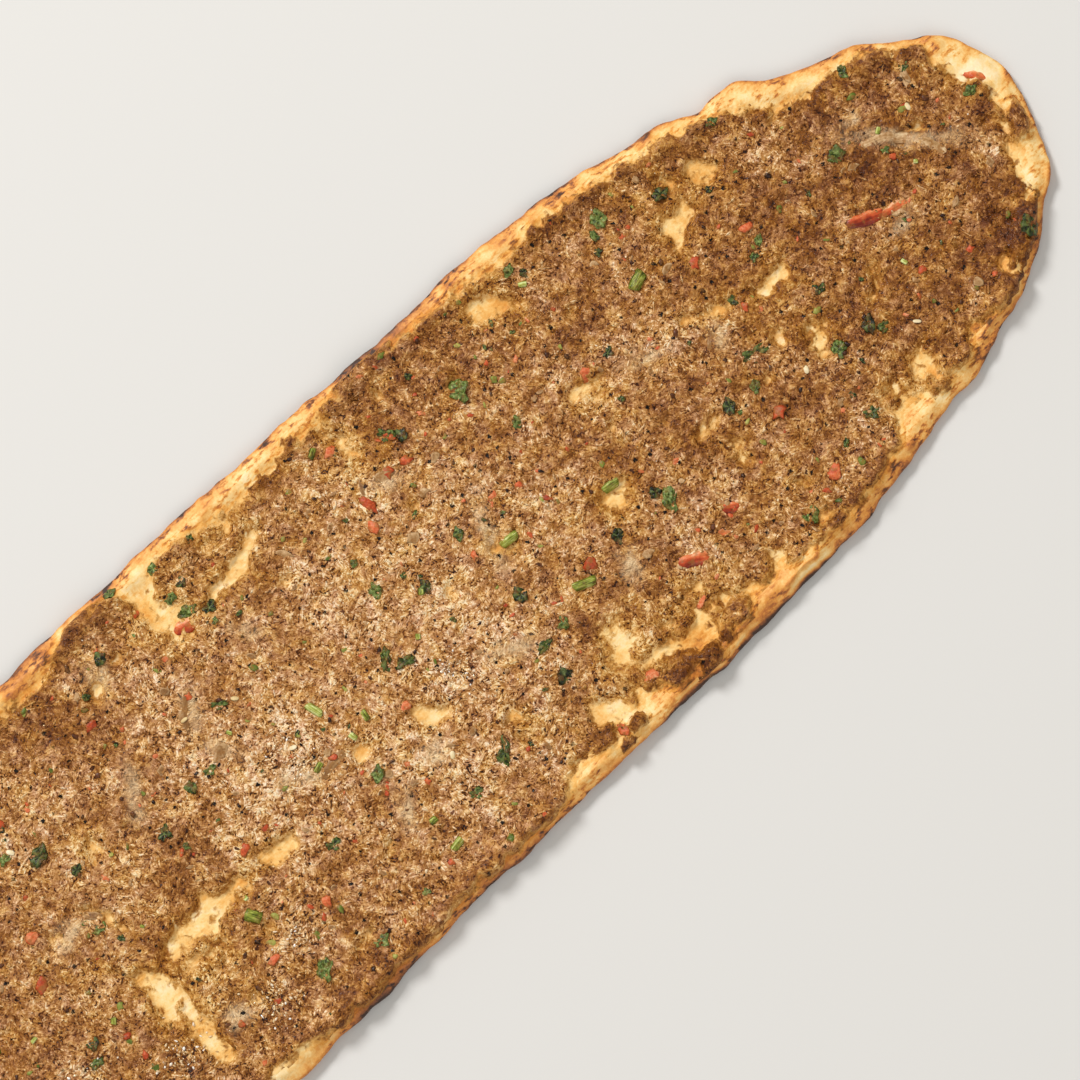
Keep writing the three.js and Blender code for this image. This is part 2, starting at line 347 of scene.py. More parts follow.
# %% Bake the bread
# Each spot: x, y, reach, how much browner.
HEAT = [
    (-14, 77, 7, 0.26), (2, 79, 5, 0.2), (28, 79, 5, 0.3), (60, 80, 12, -0.02), (92, 80, 9, -0.04),
    (118, 79, 8, -0.02), (165, 80, 16, 0.26), (192, 79, 8, 0.14), (236, 73, 10, 0.1), (152, -80, 12, 0.38),
    (183, -79, 12, 0.3), (5, -81, 14, 0.34), (60, -82, 22, 0.26), (222, -75, 16, 0.16),
    (250, -68, 10, 0.16), (300, -58, 10, 0.12), (366, 4, 20, -0.2), (360, 28, 10, -0.08),
    (143, 80, 11, 0.3), (320, 52, 18, 0.06), (262, -60, 12, -0.02), (206, 72, 12, 0.02),
    (104, -72, 9, -0.14), (-34, -77, 8, -0.12), (356, -26, 10, -0.1),
]


def browning(places, inset):
    """How browned the dough is at places in millimetres, and how flecked."""
    flat = places * (1, 1, 0)
    baked = 0.18 + 0.07 * ease((14 - inset) / 6) + 0.12 * ease((6.5 - inset) / 6)
    baked += 0.2 * ease((1.7 - inset) / 1.7)
    baked += 0.1 * ripple(flat, 13, 8) + 0.08 * ripple(flat, 4, 9)
    flecked = ease((11 - inset) / 6) * ease(0.62 + ripple(flat, 12, 10)) + 0.2
    for *spot, browner in with_far_end(HEAT, seed=2):
        near = around(*flat.T[:2], *spot)
        baked += browner * near
        flecked += 1.6 * browner * near
    return np.clip(baked, 0, 1), np.clip(flecked, 0, 1)


baked, flecked = browning(bread_points, inset)
side = ease(0.75 - bread_normals[:, 2])
baked += 0.12 * side + 0.2 * np.clip(blisters, 0, 1) * faces_up
# Under a lip the dough is painted darker, for its browning and as painted shade under the overhang; the
# lip's top is painted paler, and flecked less, as a painted highlight.
baked += lipped * by_edge * (0.55 * (1 - upper) - 0.3 * upper * ease((4 - inset) / 2))
mark(bread_mesh, "baked", np.clip(baked, 0, 1))
mark(bread_mesh, "flecked", np.clip(flecked * (1 - 0.8 * lipped * upper), 0, 1))
print("baked from", round(baked.min(), 2), "to", round(baked.max(), 2))

# %% [markdown]
# ## Baked dough
# Dough is matte and pale where it steamed, and turns gold, then brown, then nearly black where it dried
# out. One colour ramp goes through those steps. It is read at the number that each point carries, plus
# flecks of two millimetres that are drawn out along the bread, because real browning is never smooth. The
# recipe is a function, because bare bread also shows through the meat, which is another piece.

# %% Material: bread baked on a stone floor
DOUGH_STEPS = [
    (0.0, "#fee8bc"), (0.2, "#f9d48e"), (0.36, "#f0b662"), (0.5, "#e0963e"),
    (0.64, "#c0722c"), (0.78, "#8f5222"), (0.89, "#6a3b19"), (1.0, "#3c2110"),
]
JUICE = "#cf9142"


def dough_look(tree, place):
    """The colour, the roughness and the bumps of baked dough, from the three numbers that a mesh carries."""
    baked, flecked, stained = (
        add(tree, "Attribute", (), "Fac", attribute_name=name) for name in ("baked", "flecked", "stained")
    )
    drawn_out = add(tree, "Mapping", {"Vector": place, "Scale": (0.45, 1.0, 1.0)})
    streaks, clouds, pores = (
        add(tree, "TexNoise", {"Vector": at, "Scale": per_metre(size), "Detail": detail, "Roughness": 0.6})
        for at, size, detail in ((drawn_out, 1.8, 3.0), (place, 6.0, 2.0), (place, 0.9, 3.0))
    )
    specks = add(tree, "MapRange", (streaks, 0.46, 0.7, 0.0, 0.5), interpolation_type="SMOOTHSTEP")
    level = baked
    for field, weight in ((specks, flecked), (clouds, 0.45), (pores, 0.35)):
        level = add(tree, "Math", (field, weight, level), operation="MULTIPLY_ADD")
    level = add(tree, "Math", (level, 0.4), operation="SUBTRACT")
    crust = add(tree, "ValToRGB", (level,), stops=DOUGH_STEPS)
    soaked_in = add(tree, "Math", (streaks, clouds), operation="ADD")
    patchy = add(tree, "MapRange", (soaked_in, 0.9, 1.2, 0.1, 1.0))
    juice = add(tree, "Math", (stained, patchy), operation="MULTIPLY")
    colour = add(tree, "Mix", {0: juice, 6: crust, 7: linear(JUICE)}, 2, data_type="RGBA")
    rough = add(tree, "MapRange", {0: streaks, 3: 0.45, 4: 0.75})
    bumps = None
    for field, strength, height in ((clouds, 0.5, 0.7), (streaks, 0.5, 0.35), (pores, 0.6, 0.22)):
        settings = {"Height": field, "Strength": strength, "Distance": height * MM}
        bumps = add(tree, "Bump", {**settings, "Normal": bumps} if bumps else settings)
    return colour, rough, bumps


baked_dough, tree, shader, place = new_material("wheat dough baked on stone")
colour, rough, bumps = dough_look(tree, place)
feed(shader, {"Base Color": colour, "Roughness": rough, "Normal": bumps})
piece_from(bread_mesh, "bread", baked_dough, ["crust"])

# %% [markdown]
# ## A map of the meat
# The spread is thin and wide, so it is easiest to think of as a map: a grid of places a little over a
# millimetre apart, and at each place a height. Rays sent straight down onto the new bread and onto the
# packed meat fill the map in. Where a ray meets packed meat there is a spread, and elsewhere the bread is
# bare.

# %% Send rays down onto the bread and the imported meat
STEP = 1.15
MARGIN = 4
low, high = (np.array(corner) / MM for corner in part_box("mince"))
columns = math.ceil((high[0] - low[0] + 2 * MARGIN) / STEP)
rows = math.ceil((high[1] - low[1] + 2 * MARGIN) / STEP)
grid_x = low[0] - MARGIN + STEP * np.arange(columns + 1)
grid_y = low[1] - MARGIN + STEP * np.arange(rows + 1)
map_x, map_y = np.meshgrid(grid_x, grid_y, indexing="ij")
map_places = np.column_stack([map_x.ravel(), map_y.ravel(), np.zeros(map_x.size)])


def top_of(mesh):
    """The height of a mesh's top over every place of the map, in millimetres. A miss is not a number."""
    shape = shape_of(mesh)
    tree = BVHTree.FromBMesh(shape)
    shape.free()
    hits = [tree.ray_cast((x * MM, y * MM, 1), (0, 0, -1))[0] for x, y, _ in map_places]
    return np.array([h.z / MM if h else np.nan for h in hits]).reshape(map_x.shape)


bread_top = top_of(bread_mesh)
packed_top = top_of(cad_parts["mince"].data)
thickness = float(np.nanmedian(packed_top - bread_top))
map_inset = edge_near(map_places[:, :2], edge)[0].reshape(map_x.shape)
map_inset[np.isnan(bread_top)] = 0
bread_top = np.nan_to_num(bread_top)
print("map:", columns, "by", rows, "cells, meat about", round(thickness, 2), "mm thick")

# %% [markdown]
# ## The spread's edge
# Meat that is pressed out by fingertips ends in round lobes with creases between them, and shrinks back
# from some places as it cooks, so that bread shows through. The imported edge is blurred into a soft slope,
# folded noise makes the lobes, and meat lies wherever the result is high enough. Patches of the list are
# rubbed out of it, whole or in part, and lumps are added where meat stuck to the rim.

# %% Rub patches out of the spread and add lumps to it
# Each patch: x, y, length, width, turn in degrees, how much is missing.
PATCHES = [
    (-13, -23.5, 13, 3.6, 14, 1), (-25, -22, 13, 3.8, -14, 1), (-33, -22.5, 6, 2.6, 50, 0.95),
    (-43, 0, 13, 3.6, -63, 0.95), (-49, -20.5, 13, 3.2, -56, 0.95), (-43.5, -33, 12, 3.6, -78, 0.95),
    (-43, -46, 13, 3.4, -97, 1), (-45, -57, 9, 3.2, -105, 1), (-22, -37, 12, 2.8, -80, 0.85),
    (-30, -34, 14, 12, -60, 0.3), (16, -24, 10, 4.5, 20, 0.85), (80, -24, 10, 5.5, 140, 0.85),
    (100, -46, 9, 11, 0, 0.6), (5, 56, 9, 6, 0, 0.8), (38, 62, 7, 20, 12, 0.95),
    (64, 55, 26, 3.5, 14, 0.85), (78, 59, 9, 8, 0, 0.5), (120, 63, 14, 5, -65, 0.5),
    (187, 61, 16, 5.5, 148, 0.7), (252.5, 35.5, 12, 4.5, 47, 0.9), (260, 52, 7, 6, 0, 0.85),
    (275, 44, 6, 10, 20, 0.74), (197, 18, 22, 6, -8, 0.54), (245, 9, 7, 8, 45, 0.7), (265, 3, 13, 5, 12, 1),
    (250, -10, 15, 5, -40, 0.7), (175, -14, 9, 6.5, 100, 0.9), (262, -20, 12, 8, 50, 0.65),
    (217, -30, 10, 12, 0, 0.5), (137, 2, 9, 9, 0, 0.65), (192, 3, 6, 10, 0, 0.5),
    (144, -50, 14, 8, 47, 0.8), (123, -64, 12, 10, 0, 0.95), (167, -67, 13, 11, 0, 1),
    (182, -68, 12, 8, 0, 0.95), (268, -56, 19, 12, 35, 0.85), (362, 13, 13, 14, 0, 1),
    (362, 23, 8, 11, 0, 0.9), (366, -6, 12, 13, 0, 1), (362, -20, 10, 13, 0, 1), (358, -28, 12, 14, 0, 1),
    (119, 74, 6, 9, 0, 0.9), (152, -62, 12, 8, 20, 0.8), (140, -70, 12, 8, 0, 0.9),
    (200, -66, 10, 6, 20, 0.7), (326, -46, 11, 6, 35, 0.85), (-10, 75, 24, 9, 0, 1), (78, 76, 36, 12, 3, 1),
    (112, 75, 28, 12, -3, 1), (359, -23, 11, 16, 0, 1), (353, -34, 10, 13, 0, 1),
    (150, -57, 66, 16, 0, 0.3), (237, -18, 9, 7, 0, 0.6), (288, -21, 9, 8, 0, 0.45),
    (282, -52, 13, 8, 40, 0.75), (-1, -23, 6, 6, 0, 0.5), (259, 40.5, 9, 5, 47, 0.72),
    (249, 38, 7, 3.5, -43, 0.8),
]
# Each lump: x, y, length, width, turn.
LUMPS = [
    (361.5, -14, 15, 5.5, 52), (343, -42, 13, 9, 50), (333, -50, 13, 8, 38), (322, -56, 12, 7, 28),
    (177, -69, 13, 7, 10), (162, -74, 12, 7.5, 47), (153, -69, 5.5, 4, 15), (129, -73, 6, 4.5, 0),
    (121, -68, 5.5, 3.5, 0), (121.5, -77, 5, 4, 0), (16, 78, 15, 5, 5), (109, 68, 17, 11, 0),
    (128, 69, 15, 12, 0), (233, -68, 9, 5, 12), (143, 77, 26, 9, -2), (339, 32, 14, 10, -40),
    (349, 25, 12, 9, -50),
]


def blurred(field, reach):
    """A map smoothed over a reach in millimetres."""
    offsets = np.arange(-math.ceil(2.5 * reach / STEP), math.ceil(2.5 * reach / STEP) + 1) * STEP
    weights = np.exp(-((offsets / reach) ** 2) / 1.4)
    weights /= weights.sum()
    for axis in (0, 1):
        field = np.apply_along_axis(lambda line: np.convolve(line, weights, mode="same"), axis, field)
    return field


def over_map(size, seed):
    return ripple(map_places, size, seed).reshape(map_x.shape)


# Places are pushed about by noise before a patch is looked up, so that no patch keeps a plain outline.
pushed = [
    field + 1.7 * over_map(6, seed) + 0.7 * over_map(2.4, seed + 2)
    for field, seed in ((map_x, 25), (map_y, 26))
]
meat = blurred(np.isfinite(packed_top).astype(float), 2.4)
for *oval, missing in with_far_end(PATCHES, seed=3):
    meat -= missing * blob(*pushed, *oval, 1.15)
for oval in with_far_end(LUMPS, seed=4):
    meat = np.maximum(meat, 0.95 * blob(map_x, map_y, *oval))
lobes = 0.7 * np.abs(over_map(9, 11)) - 0.17
ragged = (0.28 * over_map(4.2, 12) + 0.14 * over_map(2.2, 18)) * (0.45 + 0.55 * ease((map_inset - 8) / 8))
meat -= 0.9 * np.clip(over_map(12, 23) - 0.52, 0, 1) * (map_inset > 9)
meat += (lobes + ragged) * ease((1.3 - meat) / 0.6) * ease((meat + 0.05) / 0.3)
meat *= ease((map_inset - 0.6) / 1.6)
# The meat ends in a round roll by the rim, and thins out softly further in.
away = ease((map_inset - 10) / 6)
ramp = np.clip((meat - 0.4 + 0.1 * away) / (0.3 + 0.4 * away), 0, 1)
spread = (1 - away) * np.sqrt(1 - (1 - ramp) ** 2) + away * ease(ramp)
print("share of the map under meat:", round(float((spread > 0).mean()), 3))

# %% [markdown]
# ## The meat's relief
# Cooked mince is a heap of crumbs finer than rice, so it is a relief here, with loose grains laid on top
# of it further down. Three sizes of bumps stand for lumps, crumbs and gaps, and small round pits are left
# where fat boiled out. The meat stands up in a thicker roll near its edges, where it shrank. The sheet
# also runs on as a thin film of juice, over the bare patches and a little way past the meat's edge, so
# that the ragged edges can be as fine as the rest of it.

# %% Raise the crumbs and sink the pits
PITS = 600
FILM = 0.14
FILM_INSET = 13

pit_draw = np.random.default_rng(21)
pit_depth = np.zeros(map_x.shape)
spans = ((grid_x[0], grid_x[-1]), (grid_y[0], grid_y[-1]), (0.8, 1.5))
for x, y, size in zip(*(pit_draw.uniform(*span, PITS) for span in spans)):
    i, j = (int(round((v - start) / STEP)) for v, start in ((x, grid_x[0]), (y, grid_y[0])))
    part = (slice(max(i - 3, 0), i + 4), slice(max(j - 3, 0), j + 4))
    pit_depth[part] = np.maximum(pit_depth[part], size * around(map_x[part], map_y[part], x, y, size))

roll = hill(meat - 0.8, 0.22) * 0.45
crumbs = 0.34 * over_map(9, 13) + 0.3 * over_map(4.2, 14) + 0.42 * np.abs(over_map(2.8, 15)) - 0.12
meat_top = bread_top + FILM + spread * (thickness - 0.2 - FILM + roll + crumbs - 0.7 * pit_depth)
meat_top = np.maximum(meat_top, bread_top + FILM + 0.25 * spread)
resting = blurred(meat_top, 1.6)  # the smooth surface that loose things lie on
lowest, highest = meat_top[spread > 0.9].min(), meat_top.max()
print("meat top from", round(float(lowest), 2), "to", round(float(highest), 2), "mm")

# %% [markdown]
# ## The spread as a solid
# A flat grid gets the map's heights, and the cells outside the spread are cut away. The open border sinks
# just under the bread's skin, an extruded wall carries it further down, and a flat sheet closes it, so
# the spread is one solid whose underside is hidden in the dough. Where two cells would touch at one
# corner only, a third is kept, because a wall could not be drawn through a single point.

# %% Cut the spread out of a grid
BURIED = 0.4
BOTTOM = 2.3
LEAST_INSET = 1.8


def corners(field):
    """A map at the four corners of each of its cells."""
    return field[:-1, :-1], field[1:, :-1], field[:-1, 1:], field[1:, 1:]


kept = blurred((spread > 0).astype(float), 2) > 0.05
kept = (kept & (map_inset > LEAST_INSET)) | (map_inset > FILM_INSET)
cells = np.any(corners(kept), axis=0) & np.all(corners(map_inset > LEAST_INSET - 1), axis=0)
for _ in range(8):
    a, b, c, d = corners(cells)
    pinched = (a & d & ~b & ~c) | (b & c & ~a & ~d)
    if not pinched.any():
        break
    cells[:-1, :-1] |= pinched
    cells[1:, :-1] |= pinched

shape = bmesh.new()
bmesh.ops.create_grid(shape, x_segments=columns, y_segments=rows, size=0.5)
span = Vector((grid_x[-1] - grid_x[0], grid_y[-1] - grid_y[0], 1)) * MM
centre = Vector((grid_x[0] + grid_x[-1], grid_y[0] + grid_y[-1], 0)) / 2 * MM
onto_map = Matrix.Translation(centre) @ Matrix.Diagonal((*span, 1))
bmesh.ops.transform(shape, matrix=onto_map, verts=shape.verts)


def cell_of(point, half=0.0):
    return tuple(int(round((v / MM - axis[0]) / STEP - half)) for v, axis in zip(point, (grid_x, grid_y)))


bare_cells = [f for f in shape.faces if not cells[cell_of(f.calc_center_median(), 0.5)]]
bmesh.ops.delete(shape, geom=bare_cells, context="FACES")
for point in shape.verts:
    here = cell_of(point.co)
    point.co.z = (bread_top[here] - BURIED if point.is_boundary else meat_top[here]) * MM
border = [e for e in shape.edges if e.is_boundary]
wall = bmesh.ops.extrude_edge_only(shape, edges=border)["geom"]
for point in (g for g in wall if isinstance(g, bmesh.types.BMVert)):
    point.co.z = min(BOTTOM * MM, point.co.z)
sheet_edges = [g for g in wall if isinstance(g, bmesh.types.BMEdge) and g.is_boundary]
for point in {v for e in sheet_edges for v in e.verts}:
    point.co.z = BOTTOM * MM
bmesh.ops.triangle_fill(shape, edges=sheet_edges, use_beauty=False, use_dissolve=False, normal=(0, 0, -1))
bmesh.ops.recalc_face_normals(shape, faces=shape.faces)
print("border edges:", len(border), "edges left open:", sum(not e.is_manifold for e in shape.edges))
meat_mesh = mesh_from(shape)

# %% [markdown]
# ## How the meat took the heat
# The middle of the spread stayed pale and moist. It darkened towards the edges and the ends, where it was
# thin and the oven hottest, and turned golden where juice and fat gathered, around the bare patches. As
# with the bread, numbers on the mesh carry this into the material.

# %% Sear the meat
# Each hill: x, y, reach, how much more seared.
SEAR_HILLS = [
    (70, -2, 62, -0.3), (30, 18, 34, -0.1), (118, -8, 40, -0.12), (150, 62, 26, 0.12), (10, 62, 26, 0.12),
    (-60, -30, 30, 0.06), (-84, 0, 26, 0.04), (66, -55, 24, -0.12), (-70, 10, 30, -0.1), (262, 30, 36, 0.1),
    (250, -30, 30, 0.12), (310, -4, 52, 0.26), (345, 8, 18, 0.14), (335, -40, 14, 0.2), (20, -76, 30, 0.2),
    (82, -76, 12, 0.22), (162, -72, 17, 0.36), (128, -70, 12, 0.2), (338, -46, 14, 0.16),
]
# Each hill: x, y, reach, how much more golden.
JUICY_HILLS = [
    (35, 63, 16, 0.6), (64, 60, 14, 0.5), (146, -52, 14, 0.35), (172, -58, 14, 0.35), (128, -62, 12, 0.3),
    (172, -14, 13, 0.6), (262, 2, 16, 0.5), (190, 62, 12, 0.6), (-40, -34, 26, 0.4), (-30, -34, 13, 0.8),
    (120, 55, 16, 0.5), (257, 43, 19, 0.75), (110, 30, 18, 0.3), (212, -52, 14, 0.5), (318, -30, 18, 0.3),
]
# Onion that lies just under the surface shows as a soft pale smear: x, y, length, width, turn in degrees.
SMEARS = [
    (57, 38, 10, 4.5, -73), (25, 31, 13, 4.5, 57), (24, 13.5, 11, 5, -63), (-8.5, 23, 16, 4.5, 57),
    (38, -12, 8, 4.5, -30), (74, -35, 8, 7, 0), (116, -27, 13, 5, -23), (9, 59, 10, 6, 67),
    (54, -42, 10, 5, 67), (31, -8, 6, 5, 0), (216, 13, 13, 3.6, -18), (237, 2, 7, 4.5, 67),
    (320, 25, 6, 3.6, 0), (311, -12, 7, 4.5, 20), (136.5, 6, 20, 4.8, 66), (164, -34, 8, 5, 67),
    (-55, 4, 12, 4.5, 7), (-32, -54, 8, 6, 0), (124, 42, 8, 5, -30), (330, 8, 30, 5, -43),
]
# Each of the wettest places, where the meat's fine light and shade are painted stronger as painted sparkle
# and beads of fat gather: x, y, reach.
WET_HILLS = [(-21, -59, 9), (-55, -51, 10), (-84, -36, 9), (-2, -47, 6), (40, -4, 9), (96, -20, 7)]

seared = 0.45 + 0.16 * over_map(26, 16) + 0.12 * over_map(11, 17) + 0.12 * ease((20 - map_inset) / 16)
seared += 0.16 * hill(meat - 0.75, 0.2) * ease((16 - map_inset) / 6)
near_bare = blurred(1 - ramp, 3.5) * (map_inset > 8)
seared -= 0.2 * near_bare
for *spot, more in with_far_end(SEAR_HILLS, seed=5):
    seared += more * around(map_x, map_y, *spot)
juicy = 1.4 * (near_bare - 0.04) + 0.2 * over_map(15, 19)
uneven = 0.7 + 0.6 * over_map(6, 20)
for *spot, more in with_far_end(JUICY_HILLS, seed=6):
    juicy += more * around(map_x, map_y, *spot) * uneven
wet = np.max([around(map_x, map_y, *spot) for spot in WET_HILLS], axis=0) * ease(0.6 + over_map(7, 24))
glassy = np.max([blob(*pushed, *oval, 1.15) for oval in with_far_end(SMEARS, seed=12)], axis=0)
map_baked, map_flecked = (f.reshape(map_x.shape) for f in browning(map_places, map_inset.ravel()))
FIELDS = {
    "seared": np.clip(seared, 0, 1),
    "juicy": np.clip(juicy, 0, 1),
    "wet": wet,
    "glassy": np.clip(glassy * ease(0.8 + 0.6 * over_map(4, 29)), 0, 1),
    "bare": np.clip(1 - (meat - 0.2) / 0.55, 0, 0.9),
    "baked": map_baked + 0.05,
    "flecked": map_flecked,
    "stained": np.clip(1.3 * blurred(ramp, 2.4), 0, 1),
}


def from_map(field, places):
    """A map's values at places in millimetres, by straight lines between its points."""
    u = np.clip((places[:, 0] - grid_x[0]) / STEP, 0, columns - 1e-6)
    v = np.clip((places[:, 1] - grid_y[0]) / STEP, 0, rows - 1e-6)
    i, j = u.astype(int), v.astype(int)
    u, v = u - i, v - j
    near = field[i, j] * (1 - u) + field[i + 1, j] * u
    far = field[i, j + 1] * (1 - u) + field[i + 1, j + 1] * u
    return near * (1 - v) + far * v


def mark_meat(mesh):
    places = points_of(mesh)
    for name, field in FIELDS.items():
        mark(mesh, name, from_map(field, places))


mark_meat(meat_mesh)
mark(meat_mesh, "own", np.full(len(meat_mesh.vertices), 0.3))
on_bread = from_map(FIELDS["stained"], bread_points) * ease((inset - 1.5) / 3)
mark(bread_mesh, "stained", on_bread * ease(bread_points[:, 2] - 1.5))
print("seared from", round(float(seared.min()), 2), "to", round(float(seared.max()), 2))

# %% [markdown]
# ## Cooked minced meat
# Mince is muscle, fat and juice: tan crumbs and threads, paler bits of fat, dark gaps, black pits, and a
# moist skin that sparkles. The darkness of the gaps and of the pits is painted shade, and the lighter
# middles of granules, strokes along the threads and sparse specks are painted highlights, strongest in the
# wettest places. One number says how light a place is: it adds up mottling of about a centimetre, clumps,
# crumbs, grit, threads and this painted light and shade, minus how seared the meat is. Three ramps read it,
# one for browned meat, one for meat soaked in golden juice and one for the pinker meat of the middle, and
# soft masks choose between them. Where the spread is bare, the colour is that of the dough. Grains that
# are laid on top share this recipe with another starting tone, so that they melt into the spread.

# %% Material: minced meat cooked in its own fat
MEAT_STEPS = (0.0, 0.2, 0.34, 0.48, 0.62, 0.78, 0.96)
BROWN_STEPS, GOLDEN_STEPS, PINK_STEPS = (
    list(zip(MEAT_STEPS, colours.split()))
    for colours in (
        "#220c02 #5a2c0b #7e4a18 #a66d34 #c69056 #eabc86 #fce4c0",
        "#2a1002 #643408 #8c5214 #b2762e #cf984c #edc07c #fbe2ac",
        "#240a04 #5e2e14 #845028 #b07a4e #ce9a6e #eec49c #fde8cc",
    )
)
GLASSY_ONION = "#e4c598"
# The nearly black colour of the pits, which is painted shade.
PIT_SHADE = "#0e0502"


def cooked_meat(name, tone):
    """Cooked mince. The tone is where its colours start: under a half is darker, over a half is paler."""
    made, tree, shader, place = new_material(name)
    mottling, clumps, crumb, grit, glint_and_gap_noise, gold_place, pink_place = (
        add(tree, "TexNoise", {
            "Vector": place, "Scale": per_metre(size), "Detail": detail,
            "Roughness": rough, "Distortion": twist,
        })
        for size, detail, rough, twist in (
            (13, 2.0, 0.5, 0.0), (5.5, 2.0, 0.5, 0.6), (2.6, 2.0, 0.5, 0.8), (0.85, 2.0, 0.6, 0.8),
            (1.4, 0.0, 0.5, 1.6), (6.4, 2.0, 0.6, 0.3), (5.3, 2.0, 0.6, 0.5),
        )
    )
    seared, juicy, wet, glassy, bare, own = (
        add(tree, "Attribute", (), "Fac", attribute_name=name)
        for name in ("seared", "juicy", "wet", "glassy", "bare", "own")
    )

    # Painted highlights are the places where another noise is at its highest, and painted shade in the gaps
    # is where it is at its lowest.
    painted_glints = add(tree, "MapRange", (glint_and_gap_noise, 0.62, 0.7, 0.0, 1.0))
    gap_shade = add(tree, "MapRange", (glint_and_gap_noise, 0.36, 0.28, 0.0, 1.0))

    # Coloured noise pushes places about, by up to so many millimetres.
    coarse, subtle = (field.node.outputs["Color"] for field in (crumb, grit))
    pushed = add(tree, "VectorMath", (coarse, (2.4 * MM,) * 3, place), operation="MULTIPLY_ADD")
    pushed = add(tree, "VectorMath", (subtle, (1.1 * MM,) * 3, pushed), operation="MULTIPLY_ADD")
    shaken = add(tree, "VectorMath", (subtle, (2.2 * MM,) * 3, place), operation="MULTIPLY_ADD")

    # Granules are rounded cells about 1.7 mm wide; each has a tone of its own. Each granule is painted
    # lighter in its middle and darker at its edge, as painted light and shade, and its bumps raise the
    # middle.
    to_middle = add(tree, "TexVoronoi", {"Vector": pushed, "Scale": per_metre(1.7)})
    dome_height_and_shade = add(tree, "MapRange", (to_middle, 0.1, 0.75, 1.0, 0.0))
    granule = add(tree, "SeparateColor", (to_middle.node.outputs["Color"],))

    # Fibres are noise drawn out to 2.4 mm long and 0.5 mm wide, turned its own way in each shred of meat.
    shreds = add(tree, "TexVoronoi", {"Vector": pushed, "Scale": per_metre(3.2)}, "Color")
    way = add(tree, "Math", (add(tree, "SeparateColor", (shreds,), 1), math.tau), operation="MULTIPLY")
    turned = add(tree, "VectorRotate", {"Vector": place, "Angle": way}, rotation_type="Z_AXIS")
    scale = [per_metre(size) for size in (2.4, 0.5, 1.0)]
    drawn_out = add(tree, "Mapping", {"Vector": turned, "Scale": scale})
    fibres = add(tree, "TexNoise", {"Vector": drawn_out, "Scale": 1.0, "Detail": 1.0, "Distortion": 0.7})
    # Threads are the tops of the fibres where crumbs are: pale strands of muscle, painted lighter still as
    # painted highlights.
    here = add(tree, "MapRange", (crumb, 0.44, 0.56, 0.0, 1.0))
    threads = add(tree, "MapRange", (fibres, 0.58, 0.68, 0.0, 1.0))
    threads = add(tree, "Math", (threads, here), operation="MULTIPLY")

    # Pits are up to 1.2 mm wide and about 5 mm apart; half the cells have none. They are painted nearly
    # black: painted shade in the holes.
    to_pit = add(tree, "TexVoronoi", {"Vector": shaken, "Scale": per_metre(5)}, voronoi_dimensions="2D")
    reach = add(tree, "SeparateColor", (to_pit.node.outputs["Color"],))
    reach = add(tree, "MapRange", (reach, 0.5, 1.0, -0.01, 0.15))
    depth = add(tree, "Math", (reach, to_pit), operation="SUBTRACT")
    pits = add(tree, "MapRange", (depth, 0.0, 0.035, 0.0, 1.0))

    # The dough shows where the spread is bare, with an edge that clumps and crumbs make ragged.
    frayed = bare
    for field, weight in ((clumps, 0.9), (crumb, 1.1), (grit, 0.2)):
        frayed = add(tree, "Math", (field, weight, frayed), operation="MULTIPLY_ADD")
    to_gold = add(tree, "MapRange", (frayed, 1.2, 1.6, 0.0, 0.9))
    to_crust = add(tree, "MapRange", (frayed, 1.66, 1.98, 0.0, 1.0), interpolation_type="SMOOTHSTEP")

    # The fine patterns, painted highlights and shade among them, stand out where the meat is moist, most of
    # all in the wettest places, where they are painted sparkle, and are faint where it is seared or thin.
    patterns = (
        (fibres, 0.6, 0.5), (grit, 0.26, 0.5), (dome_height_and_shade, 0.12, 0.55), (granule, 0.18, 0.5),
        (threads, 0.2, 0.1), (painted_glints, 0.16, 0.08), (gap_shade, -0.36, 0.08),
    )
    level = -sum(weight * middle for _, weight, middle in patterns)
    for field, weight, _ in patterns:
        level = add(tree, "Math", (field, weight, level), operation="MULTIPLY_ADD")
    for field, least, most, at_least, at_most in (
        (seared, 0.1, 0.85, 1.15, 0.55),
        (to_gold, 0.0, 0.9, 1.0, 0.45),
        (mottling, 0.36, 0.64, 0.75, 1.3),
        # In the wettest places the fine patterns, painted highlights and painted shade included, are made
        # twice as strong: painted sparkle.
        (wet, 0.0, 1.0, 1.0, 2.1),
    ):
        gain = add(tree, "MapRange", (field, least, most, at_least, at_most))
        level = add(tree, "Math", (level, gain), operation="MULTIPLY")
    patterns = (
        (mottling, 0.42, 0.5), (clumps, 0.46, 0.5), (crumb, 0.44, 0.5),
        (own, 0.16, 0.4), (seared, -0.36, 0.42), (to_gold, 0.1, 0.0),
    )
    start = tone - sum(weight * middle for _, weight, middle in patterns)
    level = add(tree, "Math", (level, start), operation="ADD")
    for field, weight, _ in patterns:
        level = add(tree, "Math", (field, weight, level), operation="MULTIPLY_ADD")
    browned, golden, pink = (
        add(tree, "ValToRGB", (level,), stops=steps) for steps in (BROWN_STEPS, GOLDEN_STEPS, PINK_STEPS)
    )

